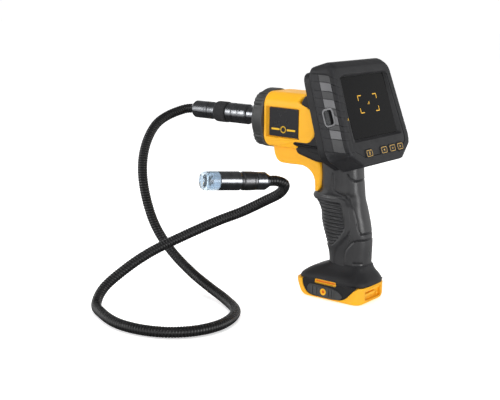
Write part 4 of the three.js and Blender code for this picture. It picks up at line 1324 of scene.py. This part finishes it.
def build_slider():
    """The power slider: a rim round a pocket, a knob with grip lines, and ribs beside it."""
    def pocket(margin, radius, deep, shallow, edge):
        outline = rectangle(7.6 + margin, 20.2 - margin, -12.7 + margin, 4.7 - margin, radius, 7)
        return slab(outline, shallow, deep, across, edge, 0.1)

    frame_shape = pocket(0.15, 4.8, -47.5, -52.6, 0.7)
    # The rim's light grey is a painted highlight along the pocket's edge.
    slider_rim = screen_piece("slider_rim", frame_shape, LIGHT_GREY, stands_for=["slider_frame"])
    carve(slider_rim, [pocket(1.9, 2.8, -48.2, -60, 0.1)], place=SCREEN)
    screen_piece("slider_floor", pocket(2.0, 2.7, -47.9, -48.6, 0.1), RUBBER)
    knob = [slab(rectangle(13.4, 17.9, -10.6, 2.6, 2.0, 6), -51.9, -48.8, across, 0.6, 0.2)]
    for k in range(8):
        v = -9.5 + k * 1.55
        knob.append(slab(rectangle(14, 17.3, v - 0.35, v + 0.35, 0.3), -52.2, -51.6, across, 0.2, 0.1, 3))
    screen_piece("slider_knob", knob, DARK_GREY, body="power_key", stands_for=["power_slider"])
    ribs = []
    for k in range(9):
        v = -10.3 + k * 1.55
        ribs.append(slab(rectangle(10.1, 12.9, v - 0.3, v + 0.3, 0.25), -48.75, -48.4, across, 0.1, 0.1, 3))
    screen_piece("slider_ribs", ribs, BLACK)


def build_port():
    flap = [
        slab(rectangle(8, 20, -10, 20, 1.4, 5), 48.9, 51.2, across, 0.2, 0.6),
        slab(rectangle(17.2, 18.8, 2, 8, 0.6), 51.0, 51.7, across, 0.1, 0.3),
    ]
    screen_piece("port_door", flap, RUBBER, body="port_flap", stands_for=["port_cover"])


def dock():
    """The cradle's frame behind the display: (inset, depth) sections round its outline."""
    profile = [
        (9, 27.4), (3.9, 27.4), (3.4, 27.7), (3.2, 28.4), (3.2, 33.6), (3.5, 34.6), (4.3, 35.2),
        (5.4, 35.4), (9, 35.4),
    ]
    places = np.linspace(0, len(display_outline(0)), 200, endpoint=False)
    return grid([[(x, w, v) for x, v in sample(display_outline(side), places)] for side, w in profile])


def build_display():
    carve_screen = partial(carve, place=SCREEN)
    shell = screen_piece(
        "display_shell", display_shell(), [BUMPER, TILE, TILE_MID, TILE_DARK], sharp=30, paint=paint_tiles,
        stands_for=["bumper_left", "bumper_right", "display_rear_cover"],
    )
    wells = [
        slab(rectangle(7.6, 20.2, -12.7, 4.7, 4.9, 7), -60, -47.4, across, 0.1, 0.1),
        slab(rectangle(7.6, 20.4, -10.4, 20.4, 1.5, 5), 48.4, 60, across, 0.1, 0.1),
    ]
    carve_screen(shell, wells, sharp=30)
    key_wells = [slab(key_outline(x, 0.35), -2, 9, onward, 0.1, 0.1) for x in BUTTON_X]
    door_swing = slab(rectangle(17, 21.8, -10.4, 20.4, 1.2, 5), 50.3, 60, across, 0.1, 0.1)
    carve_screen(shell, [door_swing, key_wells[-1]], sharp=30)
    face = screen_piece("display_fascia", display_face(), BLACK, stands_for=["display_bezel"])
    carve_screen(face, key_wells)
    wide, high = GLASS
    pane = slab(rectangle(-wide, wide, -high, high, 1.3, 5), 2.36, 4.2, onward, 0.15, 0.15)
    screen_piece("screen_pane", pane, SCREEN_GLASS, stands_for=["display_glass"])
    rails = [
        slab(rectangle(-13, 13, -36, 26, 1), 26.8, 30.2, onward, 0.1, 0.1),
        slab(rectangle(-19, 19, -36, 26, 1), 29.6, 31.4, onward, 0.3, 0.3),
    ]
    screen_piece("display_rail", rails, BLACK)
    cradle = piece("dock_cradle", dock(), BLACK, place=SCREEN, stands_for=["dock_frame"])
    carve_screen(cradle, [
        slab(rectangle(-19.6, 19.6, -36.6, 60, 1), 29.1, 32, onward, 0.1, 0.1),
        slab(rectangle(-13.6, 13.6, -36.6, 60, 1), 20, 30, onward, 0.1, 0.1),
        slab(rectangle(23.5, 36.5, 25.6, 60, 1), 29, 34.1, onward, 0.1, 0.1),
    ])
    build_keys()
    build_screen_marks()
    build_slider()
    build_port()


# ---------------------------------------------------------------- camera head


def lamp_bulb(x, z):
    return grid([
        [(x + r * u, y, z + r * v) for u, v in circle(1, segments=16)]
        for r, y in ((1.0, 57), (1.0, 58.2), (0.86, 58.8), (0.5, 59.2), (0.1, 59.3))
    ])


def build_head():
    """The camera head, from its ferrule out to its window, and the optics inside."""
    ferrule = turned([(0, 0.4), (5.2, 0.4), (5.8, 0.9), (8.1, 4.8), (8.1, 14.2), (0, 14.2)], 0.5, 4)
    collar = turned([
        (0, 14.5), (8.3, 14.5), (8.3, 16.4), (8.0, 16.6), (8.0, 17.4), (8.5, 17.7), (8.5, 26.6),
        (7.4, 27.4), (7.4, 29.2), (0, 29.2),
    ], 0.4)
    tube = turned([
        (0, 29.5), (8, 29.5), (8.5, 30.4), (8.5, 50.6), (7.4, 50.6), (7.2, 49.6), (0, 49.6),
    ], 0.4)
    window = turned([
        (0, 62.6), (5.2, 62.6), (6.4, 61.2), (7.2, 57), (7.3, 50.9), (8.5, 50.9), (8.5, 61.2), (8.1, 63.6),
        (6.9, 65.6), (5.4, 66.4), (0, 66.5),
    ], 0.8, 5)
    reflector = turned([
        (4.4, 50.2), (6.9, 50.2), (6.9, 57), (4.9, 57.2), (4.4, 56), (4.4, 50.2),
    ], 0.3, segments=48)
    module = turned([
        (0, 50), (3.9, 50), (3.9, 60.2), (3.2, 60.8), (2.6, 60.3), (0, 60.3),
    ], 0.3, segments=48)
    lens = lathe([(0, 59), (2.5, 59), (2.4, 60.4), (1.6, 60.9), (0.8, 61.1), (0.01, 61.15)], 40)
    bulbs = []
    for k in range(6):
        a = math.pi * 2 * (k + 0.5) / 6
        bulbs.append(lamp_bulb(5.8 * math.cos(a), 5.8 * math.sin(a)))
    return [
        head_piece("head_cone", ferrule, ANODISED, stands_for=["head_ferrule"]),
        head_piece("head_knurl", collar, COLLAR, stands_for=["head_collar"]),
        head_piece("head_barrel", tube, ANODISED, stands_for=["head_tube"]),
        head_piece("head_dome", window, WINDOW, stands_for=["head_window"]),
        # The reflector ring glows with the lamp's material: painted light round the bulbs.
        head_piece("lamp_ring", reflector, LAMP, stands_for=["lamp_board"]),
        head_piece("lamp_bulbs", bulbs, LAMP),
        head_piece("lens_barrel", module, COLLAR, slot="steel", stands_for=["camera_module"]),
        head_piece("lens_glass", lens, LENS),
    ]


# ---------------------------------------------------------------- CAD pieces that stay

KEPT = {
    "main_board": BOARD, "video_board": BOARD, "display_board": BOARD, "display_battery": LIGHT_GREY,
    "lcd_panel": SCREEN_GLASS, "terminal_block": BLACK, "thumbwheel": RUBBER, "thumbwheel_shaft": STEEL,
    "display_release": RUBBER, "release_spring": STEEL, "dock_contacts": BRASS,
    **{f"battery_contact_{k}": BRASS for k in (1, 2, 3)},
    **{f"housing_screw_{k}": STEEL for k in (1, 2, 3, 4, 5)},
}


def finish_kept():
    """Better materials and softened edges for the CAD pieces that keep their shape."""
    for name, material in KEPT.items():
        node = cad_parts[name]
        node.data.materials.clear()
        node.data.materials.append(material)
        weld = node.modifiers.new("weld", "WELD")
        weld.merge_threshold = 1e-6
        bevel = node.modifiers.new("soft_edges", "BEVEL")
        bevel.width = 0.0002
        bevel.segments = 2
        bevel.angle_limit = math.radians(40)


# ---------------------------------------------------------------- stage


def area_light(name, position, aim, size, power, seen_by="both"):
    """A soft box. seen_by is "both", "matt" (fill without a highlight) or "gloss" (highlight only)."""
    data = bpy.data.lights.new(name, "AREA")
    data.shape = "RECTANGLE"
    data.size, data.size_y = size
    data.energy = power
    light = bpy.data.objects.new(name, data)
    way = Vector(aim) - Vector(position)
    light.rotation_mode = "QUATERNION"
    light.rotation_quaternion = way.to_track_quat("-Z", "Y")
    light.location = position
    light.visible_glossy = seen_by != "matt"
    light.visible_diffuse = seen_by != "gloss"
    bpy.context.scene.collection.objects.link(light)


def studio_world():
    """A white surround: pure white behind the tool, gentle as fill, and a bright band in reflections."""
    world = bpy.data.worlds.new("studio")
    bpy.context.scene.world = world
    world.use_nodes = True
    tree = world.node_tree

    def make(kind):
        return tree.nodes.new("ShaderNode" + kind)

    fill = tree.nodes["Background"]
    seen = make("Background")
    reflected = make("Background")
    for node, strength in ((fill, 0.5), (seen, 1.02)):
        node.inputs["Color"].default_value = (1, 1, 1, 1)
        node.inputs["Strength"].default_value = strength

    split = make("SeparateXYZ")
    height = make("MapRange")
    height.inputs["From Min"].default_value = -1
    band = make("ValToRGB")
    stops = ((0.0, 0.05), (0.3, 0.08), (0.42, 0.8), (0.62, 0.85), (0.74, 0.15), (1.0, 0.1))
    while len(band.color_ramp.elements) < len(stops):
        band.color_ramp.elements.new(0.5)
    for element, (position, level) in zip(band.color_ramp.elements, stops):
        element.position = position
        element.color = (level, level, level, 1)

    rays = make("LightPath")
    blend = make("MixShader")
    front = make("MixShader")
    for output, socket in (
        (make("TexCoord").outputs["Generated"], split.inputs[0]),
        (split.outputs["Z"], height.inputs["Value"]),
        (height.outputs["Result"], band.inputs["Fac"]),
        (band.outputs["Color"], reflected.inputs["Color"]),
        (rays.outputs["Is Glossy Ray"], blend.inputs["Fac"]),
        (fill.outputs[0], blend.inputs[1]),
        (reflected.outputs[0], blend.inputs[2]),
        (rays.outputs["Is Camera Ray"], front.inputs["Fac"]),
        (blend.outputs[0], front.inputs[1]),
        (seen.outputs[0], front.inputs[2]),
        (front.outputs[0], tree.nodes["World Output"].inputs["Surface"]),
    ):
        tree.links.new(output, socket)


def build_stage():
    n = Nodes("floor_paper")
    paper = n.mix(n.spread(n.noise(6, 3), 0, 1), tone(250, 250, 250), tone(255, 255, 255))
    n.fix(glow=paper, glow_strength=0.55, specular=0.1)
    n.finish(colour=paper, roughness=n.spread(n.noise(300, 2), 0.85, 0.95))
    bm = bmesh.new()
    bmesh.ops.create_grid(bm, x_segments=8, y_segments=8, size=6)
    mesh = bpy.data.meshes.new("floor")
    bm.to_mesh(mesh)
    bm.free()
    mesh.materials.append(n.material)
    floor = bpy.data.objects.new("floor", mesh)
    floor.location.z = -0.0002
    floor.visible_glossy = False
    bpy.context.scene.collection.objects.link(floor)
    studio_world()
    bpy.context.scene.view_settings.view_transform = "Standard"
    area_light("overhead", (-0.1, 0.0, 1.4), (0, 0, 0.1), (0.9, 0.9), 9, "matt")
    area_light("front_fill", (-1.0, 0.5, 0.6), (0, 0, 0.12), (0.5, 0.5), 4, "matt")
    area_light("rear_box", (-0.1, -1.3, 0.25), (-0.05, 0, 0.12), (0.5, 0.6), 3.6)
    area_light("left_strip", (-1.0, 0.75, 0.55), (-0.05, 0.05, 0.12), (0.2, 0.7), 2.2, "gloss")


# ---------------------------------------------------------------- making

head_pieces = build_head()
ferrule_piece = build_connector()
build_neck()
build_nose()
build_barrel()
build_grip()
build_foot()
build_display()
finish_kept()
build_stage()

bpy.context.view_layer.update()
